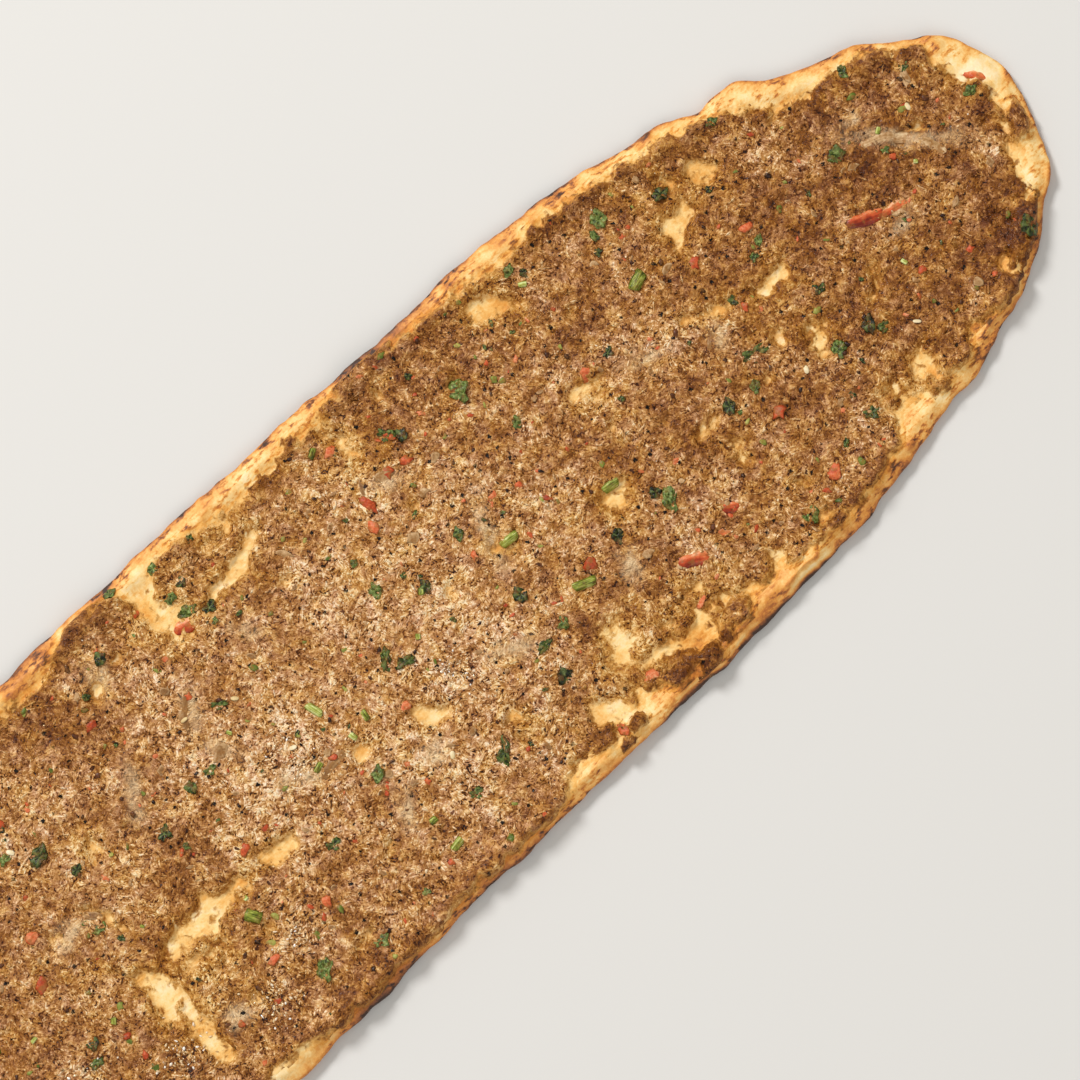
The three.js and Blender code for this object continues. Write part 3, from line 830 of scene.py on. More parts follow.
    # The colours lie over one another: each covers the last by its share. The near black of the pits is
    # painted shade.
    gold_spots = add(tree, "MapRange", (gold_place, 0.48, 0.66, 0.0, 0.65))
    gold = add(tree, "Math", (gold_spots, juicy), operation="ADD", use_clamp=True)
    pink_spots = add(tree, "MapRange", (pink_place, 0.46, 0.64, 0.0, 0.95))
    streaky = add(tree, "MapRange", (fibres, 0.36, 0.62, 0.45, 1.0))
    smear = add(tree, "Math", (glassy, streaky), operation="MULTIPLY")
    crust, crust_rough, crust_bumps = dough_look(tree, place)
    colour = browned
    for share, over in (
        (pink_spots, pink), (gold, golden), (smear, linear(GLASSY_ONION)), (pits, linear(PIT_SHADE)),
        (to_gold, golden), (to_crust, crust),
    ):
        colour = add(tree, "Mix", {0: share, 6: colour, 7: over}, 2, data_type="RGBA")
    gloss = add(tree, "MapRange", (grit, 0.4, 0.6, 0.6, 0.18))
    gloss = add(tree, "Mix", {0: to_crust, 2: gloss, 3: crust_rough})
    bumps = crust_bumps
    for field, strength, height in (
        (clumps, 0.6, 0.8), (crumb, 0.8, 0.7), (dome_height_and_shade, 0.8, 0.4),
        (grit, 0.6, 0.2), (fibres, 0.7, 0.3), (pits, 0.9, -0.7),
    ):
        inputs = {"Height": field, "Strength": strength, "Distance": abs(height) * MM, "Normal": bumps}
        bumps = add(tree, "Bump", inputs, invert=height < 0)
    bumps = add(tree, "Mix", {0: to_crust, 4: bumps, 5: crust_bumps}, 1, data_type="VECTOR")
    feed(shader, {"Base Color": colour, "Roughness": gloss, "Normal": bumps, "Specular IOR Level": 0.2})
    return made


minced_meat = cooked_meat("minced meat cooked in its own fat", 0.525)
piece_from(meat_mesh, "minced_meat", minced_meat, ["mince"])

# %% [markdown]
# ## Scattering small things
# Thousands of grains could be instances, but they have to be real mesh in the end. So one function takes
# a few small shapes, and joins a copy of one of them at every place, with its own size and turn, into a
# single mesh. A shape that is used hundreds of times has only a few dozen faces. Every copy is draped:
# each of its points is lifted by the height of the smooth surface below it. Two more attributes go to the
# materials: `own` is one chance number for the whole copy, and `within` is the place inside the copy
# before it was turned and bent.

# %% Join many copies of small shapes
def shape_data(shape):
    """A bmesh as its points, its faces, its points before bending, and how much each point is on a rib."""
    shape.verts.index_update()
    points = np.array([v.co for v in shape.verts])
    faces = [[v.index for v in f.verts] for f in shape.faces]
    ribs = shape.verts.layers.float.get("rib")
    on_rib = np.array([v[ribs] if ribs else 0.0 for v in shape.verts])
    shape.free()
    return points, faces, points, on_rib


def joined(shapes, copies, seed):
    """One mesh from copies: each is the shape's number and the matrix that places it, in millimetres."""
    draw = np.random.default_rng(seed)
    points, faces, own, within, rib, start = [], [], [], [], [], 0
    for kind, matrix in copies:
        base, base_faces, unbent, on_rib = shapes[kind]
        points.append(base @ matrix[:3, :3].T + matrix[:3, 3])
        within.append(unbent * np.linalg.norm(matrix[:3, :3], axis=0))
        own.append(np.full(len(base), draw.random()))
        rib.append(on_rib)
        faces.extend([[start + k for k in face] for face in base_faces])
        start += len(base)
    points = np.concatenate(points)
    points[:, 2] += from_map(resting, points)
    mesh = bpy.data.meshes.new("draft")
    mesh.from_pydata((points * MM).tolist(), [], faces)
    mark(mesh, "own", np.concatenate(own))
    mark(mesh, "rib", np.concatenate(rib))
    inside = np.concatenate(within).astype(np.float32)
    mesh.attributes.new("within", "FLOAT_VECTOR", "POINT").data.foreach_set("vector", inside.ravel())
    mark_meat(mesh)
    return mesh


def placed(place, turn, tilt, size):
    """The matrix that sizes a shape, leans it, turns it about the vertical and puts it in its place."""
    c, s, lean_c, lean_s = math.cos(turn), math.sin(turn), math.cos(tilt), math.sin(tilt)
    spin = np.array([[c, -s, 0], [s, c, 0], [0, 0, 1]])
    lean = np.array([[1, 0, 0], [0, lean_c, -lean_s], [0, lean_s, lean_c]])
    matrix = np.eye(4)
    matrix[:3, :3] = spin @ lean @ np.diag(size)
    matrix[:3, 3] = place
    return matrix


def chance_places(count, draw, least):
    """Places spread by chance over the meat, and none where the spread is thinner than `least`."""
    found = np.empty((0, 2))
    while len(found) < count:
        tries = draw.uniform((grid_x[0], grid_y[0]), (grid_x[-1], grid_y[-1]), (count, 2))
        fits = from_map(spread, tries) > least + draw.uniform(-0.2, 0.2, count)
        fits &= from_map(map_inset, tries) > 3
        found = np.concatenate([found, tries[fits]])
    return found[:count]


# %% [markdown]
# ## Loose grains of meat
# Each grain is a crumb about one to two millimetres long. Six uneven little shapes are made from a
# twenty-sided ball by moving its corners, and each grain is one of them, squashed and turned at random
# and pressed half way into the spread. There are four kinds: tan, browned, moist, and pale with fat.
# Threads of muscle lie between them: each is a thin bent rod with pointed ends.

# %% Make small shapes
def crumb_shape(draw, unevenness):
    shape = bmesh.new()
    bmesh.ops.create_icosphere(shape, subdivisions=1, radius=0.5)
    for point in shape.verts:
        point.co *= 1 + draw.uniform(-unevenness, unevenness)
    return shape_data(shape)


def rod_shape(draw, sides, rings, arc, blunt=2, wobble=0.15, fluted=0, size=(1, 1, 1)):
    """A rod along X with a length, width and height. It bends through an arc, a high `blunt` squares its
    ends, and `fluted` moves every other line of points in."""
    shape = bmesh.new()
    bmesh.ops.create_uvsphere(shape, u_segments=sides, v_segments=rings, radius=0.5)
    bmesh.ops.rotate(shape, cent=(0, 0, 0), matrix=Matrix.Rotation(math.pi / 2, 3, "Y"), verts=shape.verts)
    shift = draw.uniform(0, 100)
    for point in shape.verts:
        t = abs(2 * point.co.x)
        fuller = math.sqrt((1 - t**blunt) / (1 - t**2)) if t < 0.999 else 1
        uneven = 1 + wobble * noise.noise((point.co.x * 5 + shift, point.co.y * 3, point.co.z * 3)) * 1.6
        uneven += fluted * math.cos(sides / 2 * math.atan2(point.co.z, point.co.y))
        point.co.y *= fuller * uneven
        point.co.z *= fuller * uneven
    points, faces, _, on_rib = shape_data(shape)
    unbent = points * size
    points = unbent.copy()
    if arc:
        radius = size[0] / arc
        angle, out = points[:, 0] / radius, radius + points[:, 1]
        points = np.column_stack([out * np.sin(angle), out * np.cos(angle) - radius, points[:, 2]])
    return points, faces, unbent, on_rib


def bit_shape(draw, unevenness, dished=0.0):
    """An uneven bit one unit long. A dished one sinks in its middle, and its edge counts as a rib."""
    shape = bmesh.new()
    bmesh.ops.create_uvsphere(shape, u_segments=9, v_segments=5, radius=0.5)
    ribs = shape.verts.layers.float.new("rib")
    shift = draw.uniform(0, 90)
    for point in shape.verts:
        out = math.hypot(point.co.x, point.co.y) / 0.5
        angle = math.atan2(point.co.y, point.co.x)
        outline = noise.noise((1.3 * math.cos(angle) + shift, 1.3 * math.sin(angle), point.co.z))
        point[ribs] = float(ease((out - 0.55) / 0.4)) if dished else 0.0
        point.co.x *= 1 + unevenness * outline
        point.co.y *= 1 + unevenness * outline
        bumpy = noise.noise((point.co.x * 4, point.co.y * 4, shift))
        point.co.z *= 1 - dished * (1 - out) + 0.5 * unevenness * bumpy
    return shape_data(shape)


crumb_draw = random.Random(31)
CRUMBS = [crumb_shape(crumb_draw, 0.28) for _ in range(6)]
THREADS = [rod_shape(crumb_draw, 4, 6, arc) for arc in (0.2, 0.7, 1.2, -0.5, -0.9, 0.0)]
print("faces in a crumb:", len(CRUMBS[0][1]), "and in a thread:", len(THREADS[0][1]))

# %% Lay the grains and the threads
def scattered(
    name, shapes, count, sizes, material, seed, least=0.5, sink=0.25, flat=(0.5, 0.85), listed=()
):
    """Scatters shapes over the meat. The sizes are the least and greatest length, and the least and greatest
    share of it that is the width. The height is a share of the width. Listed ones have their own x, y,
    length, width and turn in degrees."""
    draw = np.random.default_rng(seed)
    chosen = [(*feature[:4], math.radians(feature[4])) for feature in listed]
    for x, y in chance_places(count, draw, least):
        long = sizes[0] + (sizes[1] - sizes[0]) * draw.beta(1.6, 3.2)
        chosen.append((x, y, long, long * draw.uniform(sizes[2], sizes[3]), draw.uniform(0, math.tau)))
    copies = []
    for x, y, long, wide, turn in chosen:
        high = min(wide, 3) * draw.uniform(*flat)
        lift = high * (draw.uniform(-0.3, 0.3) - sink)
        tilt = draw.uniform(-0.5, 0.5) * min(1, 2 / wide)
        kind = int(draw.integers(len(shapes)))
        copies.append((kind, placed((x, y, lift), turn, tilt, (long, wide, high))))
    piece_from(joined(shapes, copies, seed), name, material)


GRAINS = 9000
for name, look, tone, count, least_long, most_long, seed, least in (
    ("tan_grains", "tan crumbs of cooked meat", 0.55, GRAINS, 0.9, 2.3, 41, 0.35),
    ("browned_grains", "browned crumbs of cooked meat", 0.48, GRAINS, 1.0, 2.6, 42, 0.5),
    ("moist_grains", "moist crumbs of cooked meat", 0.525, GRAINS, 0.8, 2.0, 43, 0.5),
    ("fatty_grains", "pale crumbs of fat", 0.64, GRAINS // 3, 0.7, 1.8, 44, 0.5),
):
    sizes = (least_long, most_long, 0.6, 0.95)
    scattered(name, CRUMBS, count, sizes, cooked_meat(look, tone), seed, least=least)
muscle = cooked_meat("threads of cooked muscle", 0.66)
scattered("meat_threads", THREADS, GRAINS // 4, (1.8, 4.6, 0.14, 0.26), muscle, 45, sink=-0.1)

# %% [markdown]
# ## Bits of vegetable
# Chopped vegetables cook to soft, wet, see-through bits that are smeared with meat juice. One recipe
# serves them all: a ramp of their colours is read at the copy's own chance number plus some noise, ribs
# run along the copy where the vegetable has fibres, and smears of the meat's brown lie over it.

# %% Material: soft cooked vegetables
MEAT_JUICE = "#95642f"


def cooked_vegetable(
    name, steps, ribs=0.0, smeared=0.5, rough=0.35, light_ribs=None, grain=0.4, paler=None, fibre=2.2
):
    """Soft wet vegetable. Ribs is the distance between its fibres in millimetres, or 0 for none.
    Paler is how much lighter it gets for each millimetre along and across the copy."""
    made, tree, shader, place = new_material(name)
    own = add(tree, "Attribute", (), "Fac", attribute_name="own")
    within = add(tree, "Attribute", (), "Vector", attribute_name="within")
    clouds, spots, smears = (
        add(tree, "TexNoise", {"Vector": place, "Scale": per_metre(size), "Detail": 3.0, "Roughness": 0.6})
        for size in (2.6, 0.9, 2.1)
    )
    level = add(tree, "Math", (own, 0.5, -0.1 - grain / 2), operation="MULTIPLY_ADD")
    if paler:
        lean = add(tree, "VectorMath", (within, (*paler, 0)), "Value", operation="DOT_PRODUCT")
        level = add(tree, "Math", (lean, level), operation="ADD")
    for field, weight in ((clouds, 0.7), (spots, grain)):
        level = add(tree, "Math", (field, weight, level), operation="MULTIPLY_ADD")
    heights = [(spots, 0.6, 0.3 + 0.2 * grain)]
    if ribs:
        along = add(tree, "Mapping", {"Vector": within, "Scale": (0.12 / ribs, 1 / ribs, 1 / ribs)})
        fibres = add(tree, "TexNoise", {"Vector": along, "Scale": 1.0, "Detail": 2.0})
        step = add(tree, "Math", (fibres, fibre, -fibre / 2), operation="MULTIPLY_ADD")
        level = add(tree, "Math", (step, level), operation="ADD")
        heights.append((fibres, 0.7, 0.35))
    colour = add(tree, "ValToRGB", (level,), stops=steps)
    if light_ribs:
        rib = add(tree, "Attribute", (), "Fac", attribute_name="rib")
        colour = add(tree, "Mix", {0: rib, 6: colour, 7: linear(light_ribs)}, 2, data_type="RGBA")
    over = add(tree, "MapRange", (smears, 0.5, 0.62, 0.0, smeared))
    colour = add(tree, "Mix", {0: over, 6: colour, 7: linear(MEAT_JUICE)}, 2, data_type="RGBA")
    bumps = None
    for field, strength, height in heights:
        inputs = {"Height": field, "Strength": strength, "Distance": height * MM}
        bumps = add(tree, "Bump", {**inputs, "Normal": bumps} if bumps else inputs)
    feed(shader, {"Base Color": colour, "Roughness": rough, "Normal": bumps, "Specular IOR Level": 0.25})
    return made


# %% [markdown]
# ## Onion
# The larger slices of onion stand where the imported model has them. An onion slice is a curved band with
# fibres along it, which the oven turned grey and glassy, and it is half sunk in the meat. Smaller bits of
# it lie all over the spread.

# %% Lay the onion
def bent_rods(name, features, material, seed, blunt=6):
    """Rods from features: x, y, length, width, height, arc and turn in degrees. Those at the end that the
    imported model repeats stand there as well, turned half way round."""
    slot = name.split("_")[0]
    draw = random.Random(seed)
    shapes, copies = [], []
    far = [(-x, -y, *rest, turn + 180) for x, y, *rest, turn in features if x > FAR_FROM + 25]
    for x, y, *size, arc, turn in features + far:
        rod = rod_shape(draw, 12, 26, math.radians(arc), blunt, size=size)
        rod[0][:, 1] += 0.5 * np.array([noise.noise((a / 5 + x, b / 5, y)) for a, b, _ in rod[0]])
        shapes.append(rod)
        copies.append((len(copies), placed((x, y, -0.5), math.radians(turn), 0, (1, 1, 1))))
    stands_for = [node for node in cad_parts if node.startswith(slot)]
    piece_from(joined(shapes, copies, seed), name, material, stands_for)


ONION_STEPS = [(0.0, "#6a4220"), (0.3, "#8c6236"), (0.52, "#a98152"), (0.75, "#c69e70"), (1.0, "#e6ca9e")]
# Each slice: x, y, length, width, height, arc, turn.
ONION_SLICES = [
    (330, 8, 37, 4.2, 1.6, 84, -48), (47, -14, 13, 4.4, 1.6, 30, 8), (22, 32, 14, 3.6, 1.5, 40, 47),
    (235.5, 3.5, 11, 3.2, 1.3, 30, -130), (344, 22, 9, 2.8, 1.2, 20, 68),
]
slices = cooked_vegetable(
    "onion slices turned glassy in the oven", ONION_STEPS, ribs=0.9, smeared=0.8, fibre=0.9
)
bent_rods("onion_slices", ONION_SLICES, slices, 51)

CHUNKS = [bit_shape(crumb_draw, 0.9) for _ in range(7)]
SLICES = [bit_shape(crumb_draw, 0.8, 0.45) for _ in range(7)]
# Each bit: x, y, length, width, turn.
ONION_BITS = [
    (124, 44, 6.5, 4, -30), (117, 22, 4.6, 4.2, 0), (141, 37, 4, 3, 20), (116, 46, 6, 1.8, 60),
    (82, 48, 6, 3, -60), (130, 31, 3.6, 3, 0), (22, 14, 7, 4.5, 20), (-45, 3, 6, 3, -40),
    (345, -18, 4.2, 2.6, 70), (345, 23, 7, 2.6, 68), (311, -9, 5, 3.4, -30), (241, 30, 5, 3, 10),
    (290, 10, 4, 2.6, 80),
]
chopped = cooked_vegetable(
    "chopped onion turned glassy in the oven", ONION_STEPS,
    smeared=0.85, rough=0.45, light_ribs="#c8a274", grain=0.9,
)
scattered(
    "onion_bits", SLICES, 110, (1.8, 4.6, 0.5, 0.9), chopped, 52,
    least=0.8, sink=-0.1, flat=(0.2, 0.32), listed=with_far_end(ONION_BITS, seed=8),
)

# %% [markdown]
# ## Tomato and peppers
# Shreds of tomato keep their skin, which is dark red and glossy, along one side of salmon-coloured flesh.
# Small bits of tomato, of red and green pepper, and of meat and spice fried dark are scattered all over.

# %% Lay the tomato and the peppers
TOMATO_STEPS = [(0.0, "#6e2010"), (0.28, "#a23a1c"), (0.5, "#c8562a"), (0.74, "#dd7844"), (1.0, "#eeac7c")]
PEPPER_STEPS = [(0.0, "#8c3416"), (0.28, "#b04420"), (0.5, "#cc5c30"), (0.74, "#dc7c4c"), (1.0, "#eeae80")]
GREEN_STEPS = [(0.0, "#2f3a12"), (0.3, "#5c6a24"), (0.55, "#8a8c3c"), (0.8, "#b5ad58"), (1.0, "#d8cd84")]
DARK_STEPS = [(0.0, "#0c0502"), (0.4, "#2c1409"), (0.6, "#4e2a16"), (0.85, "#744428"), (1.0, "#8e5f3c")]
# Each shred: x, y, length, width, height, arc, turn.
TOMATO_SHREDS = [
    (301, -3.5, 15, 5.2, 2.2, -25, -22), (310, -7, 13, 4.2, 1.7, 30, -10),
    (180, -47, 11.5, 5.6, 2.2, 20, -28), (194, -48, 6, 3, 1.5, 0, -60), (201, -43, 6.5, 4.4, 1.6, 0, -30),
    (42, 53, 8.5, 5, 1.8, 15, -20), (362, 7, 9, 2.8, 1.4, 25, -55), (32, 67, 4.5, 2, 1.2, 0, 20),
]
# Each bit: x, y, length, width, turn.
TOMATO_BITS = [
    (249, 25, 5.4, 3.2, 30), (270, 22, 5.4, 3, -20), (235, -31, 5.4, 4, 10), (234, -58, 6, 4.5, 40),
    (303, -29, 3.6, 2.5, 0), (251, 3, 3.8, 2.5, 60), (197, 23, 5.4, 3.2, 40), (154, -25, 5.5, 4.2, -20),
    (172, -59, 5.4, 2.2, 20), (143, -66, 7.2, 4, 10), (124, -72, 4.8, 3.5, 60), (146, 14, 4.3, 3, 0),
    (114, 41, 7.2, 4.2, -70), (126, 44, 4.8, 3.8, 0), (110, 34, 5, 3.8, 50), (133, 43, 4.1, 3.8, 0),
    (117, 62, 5.3, 3.2, 10), (77, -17, 4.6, 3, 0), (6, -15, 5.3, 3.2, 30), (-12, -48, 4.8, 3, 0),
    (14, -46, 4.8, 3.2, 70), (-65, 12, 4.8, 3.8, 0), (-73, -2, 6, 3.8, 20), (-3, 50, 4.8, 3.2, 0),
    (-48, 47, 4.8, 3.5, -30),
]
shredded = cooked_vegetable(
    "shreds of tomato baked soft", TOMATO_STEPS,
    ribs=1.5, smeared=0.55, rough=0.3, paler=(0.018, 0.14), fibre=1.2,
)
bent_rods("tomato_shreds", TOMATO_SHREDS, shredded, 53, blunt=3)
chopped = cooked_vegetable("chopped tomato and red pepper", PEPPER_STEPS, smeared=0.68, grain=1.1)
scattered(
    "tomato_bits", CHUNKS, 260, (1.2, 3.8, 0.45, 0.85), chopped, 54,
    least=0.8, sink=-0.15, flat=(0.25, 0.4), listed=with_far_end(TOMATO_BITS, seed=9),
)
chopped = cooked_vegetable("chopped green pepper baked to olive", GREEN_STEPS, smeared=0.7, rough=0.3)
scattered(
    "green_pepper_bits", CHUNKS, 150, (1.4, 4.2, 0.45, 0.85), chopped, 55,
    least=0.8, sink=-0.1, flat=(0.25, 0.4),
)
fried = cooked_vegetable("bits of meat and spice fried dark", DARK_STEPS, smeared=0.4, rough=0.3)
scattered("dark_bits", CHUNKS, 420, (0.9, 3.2, 0.45, 0.8), fried, 56, least=0.7, sink=0.0)

# %% [markdown]
# ## Beads of fat
# Where fat gathered, the spread sparkles: tiny beads of it stand on the crumbs and each catches the
# light. They are the same uneven balls as the crumbs, up to two millimetres long, close together around
# the wettest places, and very smooth. Their colour runs from the fat's pale browns up to nearly white,
# and the whitest of it is painted glint.

# %% Lay the beads
# From the fat's own pale browns up to a near white that is painted glint.
FAT_GLINT_STEPS = [(0.0, "#9a6a38"), (0.5, "#cfa46c"), (0.8, "#ecd0a2"), (1.0, "#fffaf0")]
BEADS_PER_MM = 11  # for each millimetre of a wet hill's reach

hot_fat, tree, shader, _ = new_material("beads of hot fat")
tone = add(tree, "Attribute", (), "Fac", attribute_name="own")
pale = add(tree, "ValToRGB", (tone,), stops=FAT_GLINT_STEPS)
feed(shader, {"Base Color": pale, "Roughness": 0.08, "Coat Weight": 1.0, "Coat Roughness": 0.05})
bead_draw = np.random.default_rng(57)
beads = []
for x, y, reach in WET_HILLS:
    for _ in range(reach * BEADS_PER_MM):
        at = (x, y) + bead_draw.normal(0, reach / 2, 2)
        beads.append((*at, *bead_draw.uniform((0.6, 0.4), (1.8, 1.1)), bead_draw.uniform(0, 360)))
scattered(
    "fat_beads", CRUMBS, 160, (0.5, 1.3, 0.4, 0.9), hot_fat, 57,
    sink=0.0, flat=(0.5, 0.9), listed=beads,
)

# %% [markdown]
# ## Parsley
# The oven dried the parsley a little, so each torn leaf is crinkled, dark and glossy, with paler ribs,
# and lies flat where it stuck. A leaf starts as a flat grid whose width is wrapped round into a disc; its
# outline is drawn in to two, three or five toothed lobes, it is crinkled by noise, and solidify gives it its
# thickness. The chopped stems are short ribbed rods, and the freshest green on the bread.

# %% Make leaves and stems
def leaf_shape(draw, sides, rings):
    """A torn leaf, one unit long, with `rib` as how close its points are to a rib."""
    shape = bmesh.new()
    bmesh.ops.create_grid(shape, x_segments=sides, y_segments=rings, size=0.5)
    ribs = shape.verts.layers.float.new("rib")
    lean, shift, veins = draw.uniform(0, math.tau), draw.uniform(0, 90), draw.choice((2, 3, 5))
    for point in shape.verts:
        angle = math.tau * (point.co.x + 0.5)
        out = point.co.y + 0.5
        lobe = abs(math.cos(veins / 2 * angle + lean))
        torn = noise.noise((1.1 * math.cos(angle) + shift, 1.1 * math.sin(angle), 0)) * 0.6
        tooth = noise.noise((4.5 * math.cos(angle) + shift, 4.5 * math.sin(angle), 5)) * 0.36
        reach = 0.47 * out * max(0.84 + 0.16 * lobe + (torn + tooth) * out, 0.2)
        point[ribs] = lobe**14 * (1 - 0.6 * out)
        x, y = reach * math.cos(angle), reach * math.sin(angle)
        crinkles = ((0.3, 3), (0.22, 6.5), (0.12, 13))
        crinkle = sum(high * noise.noise((x * often + shift, y * often, often)) for high, often in crinkles)
        point.co = (x, y, 0.7 * crinkle)
    bmesh.ops.remove_doubles(shape, verts=shape.verts, dist=0.003)
    bmesh.ops.recalc_face_normals(shape, faces=shape.faces)
    bmesh.ops.solidify(shape, geom=shape.faces[:], thickness=0.06)
    bmesh.ops.recalc_face_normals(shape, faces=shape.faces)
    return shape_data(shape)


leaf_draw = random.Random(61)
LEAVES = [leaf_shape(leaf_draw, 26, 4) for _ in range(8)]
STEMS = [rod_shape(leaf_draw, 16, 7, arc, 14, 0.1, 0.12) for arc in (0.0, 0.25, -0.3)]
print("faces in one leaf:", len(LEAVES[0][1]), "and in one stem:", len(STEMS[0][1]))

# %% [markdown]
# ## Where the parsley lies
# The leaves and stems that catch the eye are listed, and a few more are strewn by chance.

# %% Lay the parsley
# Each leaf and stem: x, y, length, width, turn in degrees.
LISTED_LEAVES = [
    (162, 48, 9, 8, 47), (134, 54, 6, 4.5, -43), (138, 50, 5, 4.5, 20), (153, 63, 3, 3, 0),
    (202, 66, 5, 3.5, 10), (205, 62, 3.5, 3, 50), (236, 58, 7, 6, 40), (231, 55, 4, 3.5, 90),
    (257, 50, 6.5, 5, -20), (270, 40, 3.5, 3, 0), (228, 50, 3.5, 3, 30), (286, 56, 5, 3.5, -30),
    (169, 27, 4.5, 4, 60), (207, 23, 4, 3, 30), (270, 16, 5, 3, 47), (265, 13, 4, 3.5, 10),
    (250, 7, 4, 3.5, 60), (309, 19, 7, 5.5, -30), (322, 9, 3, 2.5, 0), (330, 38, 6, 3.5, 60),
    (346, 25, 4, 3, 10), (357, 4, 5, 4, -30), (134, -33, 5, 4, 70), (167, -24, 6, 5, 30),
    (188, -27, 10, 6, 47), (186, -22, 5, 4.5, 0), (242, -11, 9, 6, -10), (224, -18, 6.5, 4.5, 47),
    (235, -19, 5, 4.5, 20), (273, -10, 5, 4, 0), (264, -29, 6.5, 6, 20), (277, -30, 8, 5, 60),
    (280, -34, 5, 4, 30), (257, -52, 5.5, 4.5, 0), (219, -64, 6.5, 5, 50), (339, -43, 8, 6.5, 50),
    (14, 64, 5, 4.5, 0), (2, 58, 3.5, 3, 0), (31, 78, 5, 3.5, -20), (47, 74, 4.5, 3.5, 30),
    (63, 73, 3, 3, 0), (45, 63, 4.5, 4, 10), (51, 64, 4, 3.5, 60), (46, 56, 7, 4.5, -30),
    (52, 52, 5, 4, 20), (-49, 45, 4, 3.5, 0), (-54, 37, 5, 3.5, 0), (-45, 30, 9, 5.5, 12),
    (-39, 18, 4.5, 3.5, 0), (-10, 7, 5.5, 4, 40), (7, 12, 5, 4, 60), (15, 12, 4.5, 3, 0),
    (32, 26, 5.5, 3, -30), (83, -1, 8, 4.5, 52), (87, -6, 8, 4, -20), (96, 18, 5.5, 5, 40),
    (109, 8, 5.5, 4.5, 50), (129, 13, 5, 4, 40), (-47, -1, 5.5, 4.5, 0), (-74, -28, 5, 4, 30),
    (-77, -33, 5, 4, 0), (55, -27, 6, 5, 20), (28, -34, 5, 4, 0), (90, -51, 11, 4.5, 52),
    (74, -54, 4.5, 4, 0), (122, -46, 6.5, 5, -10), (124, -34, 7.5, 3.5, 8), (-2, -62, 9, 6, 40),
    (18, -68, 5.5, 4.5, 10), (130, -16, 6, 5, 60), (-88, -44, 6, 5, 20), (-96, 22, 5, 4, 70),
    (-118, -12, 6, 4.5, 10), (-121, 44, 5, 4, 120), (-128, -50, 6.5, 5, 40), (-103, 61, 5, 4, 0),
]
LISTED_STEMS = [
    (231, 34, 7.5, 4, 20), (140, 0, 7, 2.8, -5), (177, -10, 6.5, 2.8, -8), (148, -28, 8.5, 3, -22),
    (54, 3, 6.5, 2.6, -75), (58, -62, 5, 2.6, 10), (65, -10, 4, 2, 80), (-7, -33, 6, 4, -60),
    (42, -12, 4, 2, 20), (112, 66, 4, 2, 30), (-98, -6, 6, 2.6, 70),
]


def laid_out(name, features, shapes, height, material, seed, lift, extra, sizes):
    """Lays shapes at listed places, and some extra small ones by chance."""
    draw = np.random.default_rng(seed)
    strewn = []
    for x, y in chance_places(extra, draw, 0.8):
        long = draw.uniform(*sizes)
        strewn.append((x, y, long, long * draw.uniform(0.5, 0.9), draw.uniform(0, 360)))
    copies = []
    for x, y, long, wide, turn in features + strewn:
        kind = int(draw.integers(len(shapes)))
        size = (long, wide, height * (long + wide) / 2)
        copies.append((kind, placed((x, y, lift), math.radians(turn), draw.uniform(-0.25, 0.25), size)))
    piece_from(joined(shapes, copies, seed), name, material)


LEAF_STEPS = [
    (0.0, "#080a02"), (0.3, "#161c06"), (0.48, "#2e3a10"),
    (0.64, "#48561c"), (0.8, "#687834"), (1.0, "#9cac66"),
]
STEM_STEPS = [(0.0, "#3c4210"), (0.3, "#757c28"), (0.5, "#949c3c"), (0.7, "#b0b755"), (1.0, "#dfe59c")]
leaf = cooked_vegetable(
    "parsley leaf dried by the oven", LEAF_STEPS, smeared=0.35, rough=0.3, light_ribs="#7f8d4c", grain=1.7
)
stem = cooked_vegetable("chopped parsley stem", STEM_STEPS, ribs=0.45, smeared=0.3, rough=0.3)
leaves, stems = with_far_end(LISTED_LEAVES, seed=62), with_far_end(LISTED_STEMS, seed=63)
laid_out("parsley_leaves", leaves, LEAVES, 0.62, leaf, 64, 0.28, 60, (1.3, 3.4))
laid_out("parsley_stems", stems, STEMS, 0.34, stem, 65, 0.25, 24, (1.4, 3.2))

# %% [markdown]
# ## Seeds
# A few pale tomato and pepper seeds lie on the meat: flat drops about three millimetres long.

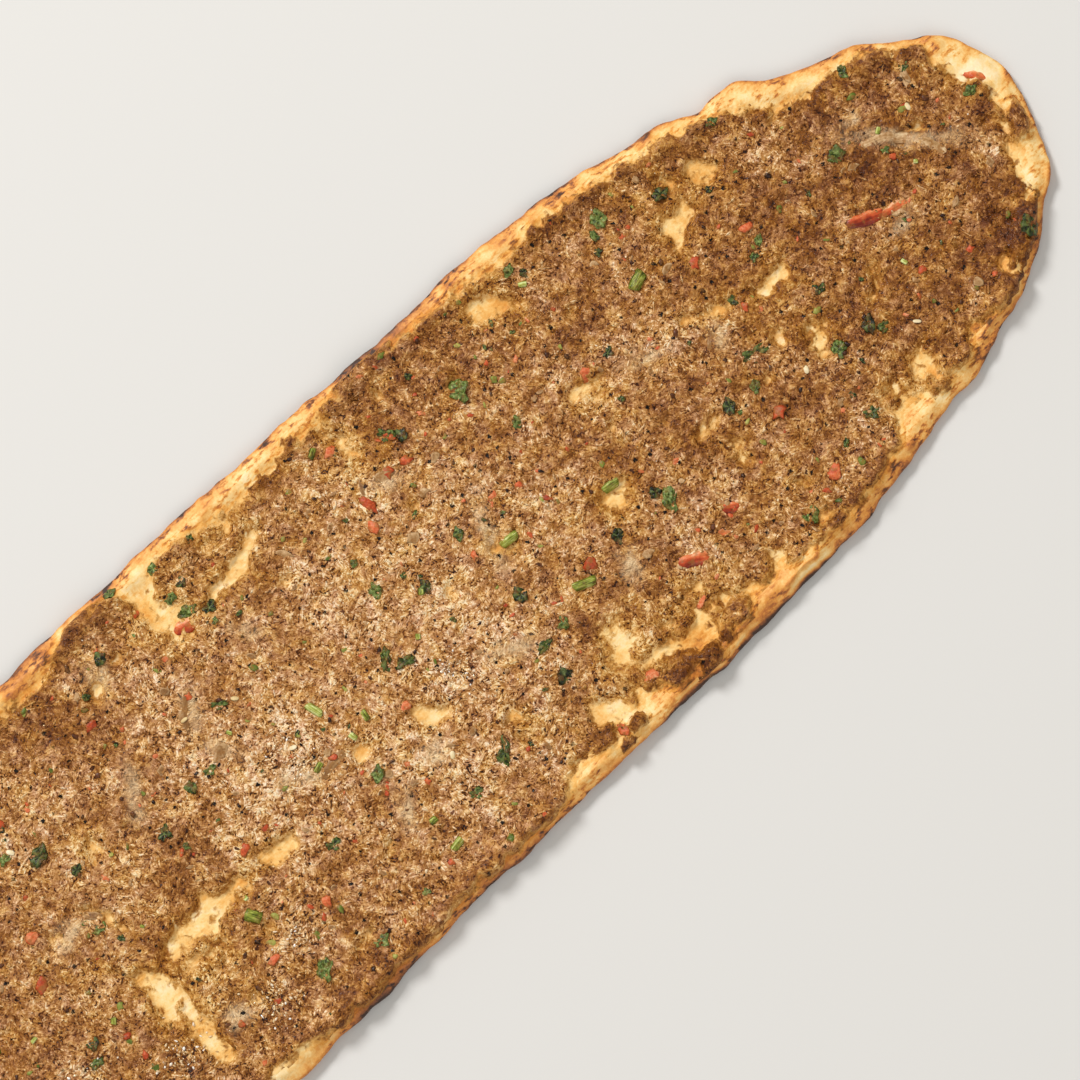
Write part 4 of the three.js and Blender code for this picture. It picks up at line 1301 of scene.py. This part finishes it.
# %% Lay the seeds
SEED_STEPS = [(0.0, "#c9a465"), (0.4, "#e6cd97"), (0.7, "#f4e4bd"), (1.0, "#fdf6e2")]
SEEDS = [rod_shape(crumb_draw, 8, 6, 0, 3, 0.05)]
dried = cooked_vegetable("dried pepper seed", SEED_STEPS, smeared=0.15, rough=0.5)
scattered(
    "pepper_seeds", SEEDS, 16, (2.6, 3.4, 0.5, 0.65), dried, 57,
    least=0.9, sink=-0.3, flat=(0.3, 0.4),
)

# %% [markdown]
# ## Light and camera
# The bread lies on a plain pale floor. A large soft lamp beyond its far side gives the crumbs their shade
# and sparkle, a weaker one fills in from the near side, and the sky lights the rest evenly. The camera
# looks down on the near half, with the bread running corner to corner.

# %% Floor, lamps and camera
shape = bmesh.new()
bmesh.ops.create_grid(shape, x_segments=1, y_segments=1, size=4)
bmesh.ops.translate(shape, vec=(0, 0, -0.2 * MM), verts=shape.verts)
floor = put("floor", mesh_from(shape))
pale_board, tree, shader, _ = new_material("matt pale board")
feed(shader, {"Base Color": linear("#dcdad6"), "Roughness": 0.85})
floor.data.materials.append(pale_board)

aim = Vector((147.4 * MM, -7.1 * MM, 4 * MM))
for name, place, size, power in (("key", (0.1, 2.5, 2.3), 1.0, 88), ("fill", (-1.0, -2.2, 2.6), 2.4, 28)):
    light = bpy.data.lights.new(name, "AREA")
    light.shape = "DISK"
    light.size = size
    light.energy = power
    lamp = put(name, light)
    lamp.location = place
    lamp.rotation_euler = (aim - Vector(place)).to_track_quat("-Z", "Y").to_euler()

sky = bpy.data.worlds.new("sky")
bpy.context.scene.world = sky
sky.use_nodes = True
feed(sky.node_tree.nodes["Background"], {"Color": (1, 0.97, 0.92, 1), "Strength": 0.47})
bpy.context.scene.view_settings.view_transform = "Standard"

AZIMUTH, ELEVATION = math.radians(-43.4), math.radians(83)
DISTANCE = 1.6
VIEW_WIDTH = 0.3594
camera = bpy.data.cameras.new("camera")
camera.sensor_width = 36
camera.lens = camera.sensor_width * DISTANCE / VIEW_WIDTH
eye = put("camera", camera)
across = math.cos(ELEVATION)
back = Vector((math.sin(AZIMUTH) * across, -math.cos(AZIMUTH) * across, math.sin(ELEVATION)))
eye.location = aim + back * DISTANCE
eye.rotation_euler = (-back).to_track_quat("-Z", "Y").to_euler()
bpy.context.scene.camera = eye
print("lens", round(camera.lens, 1), "mm")
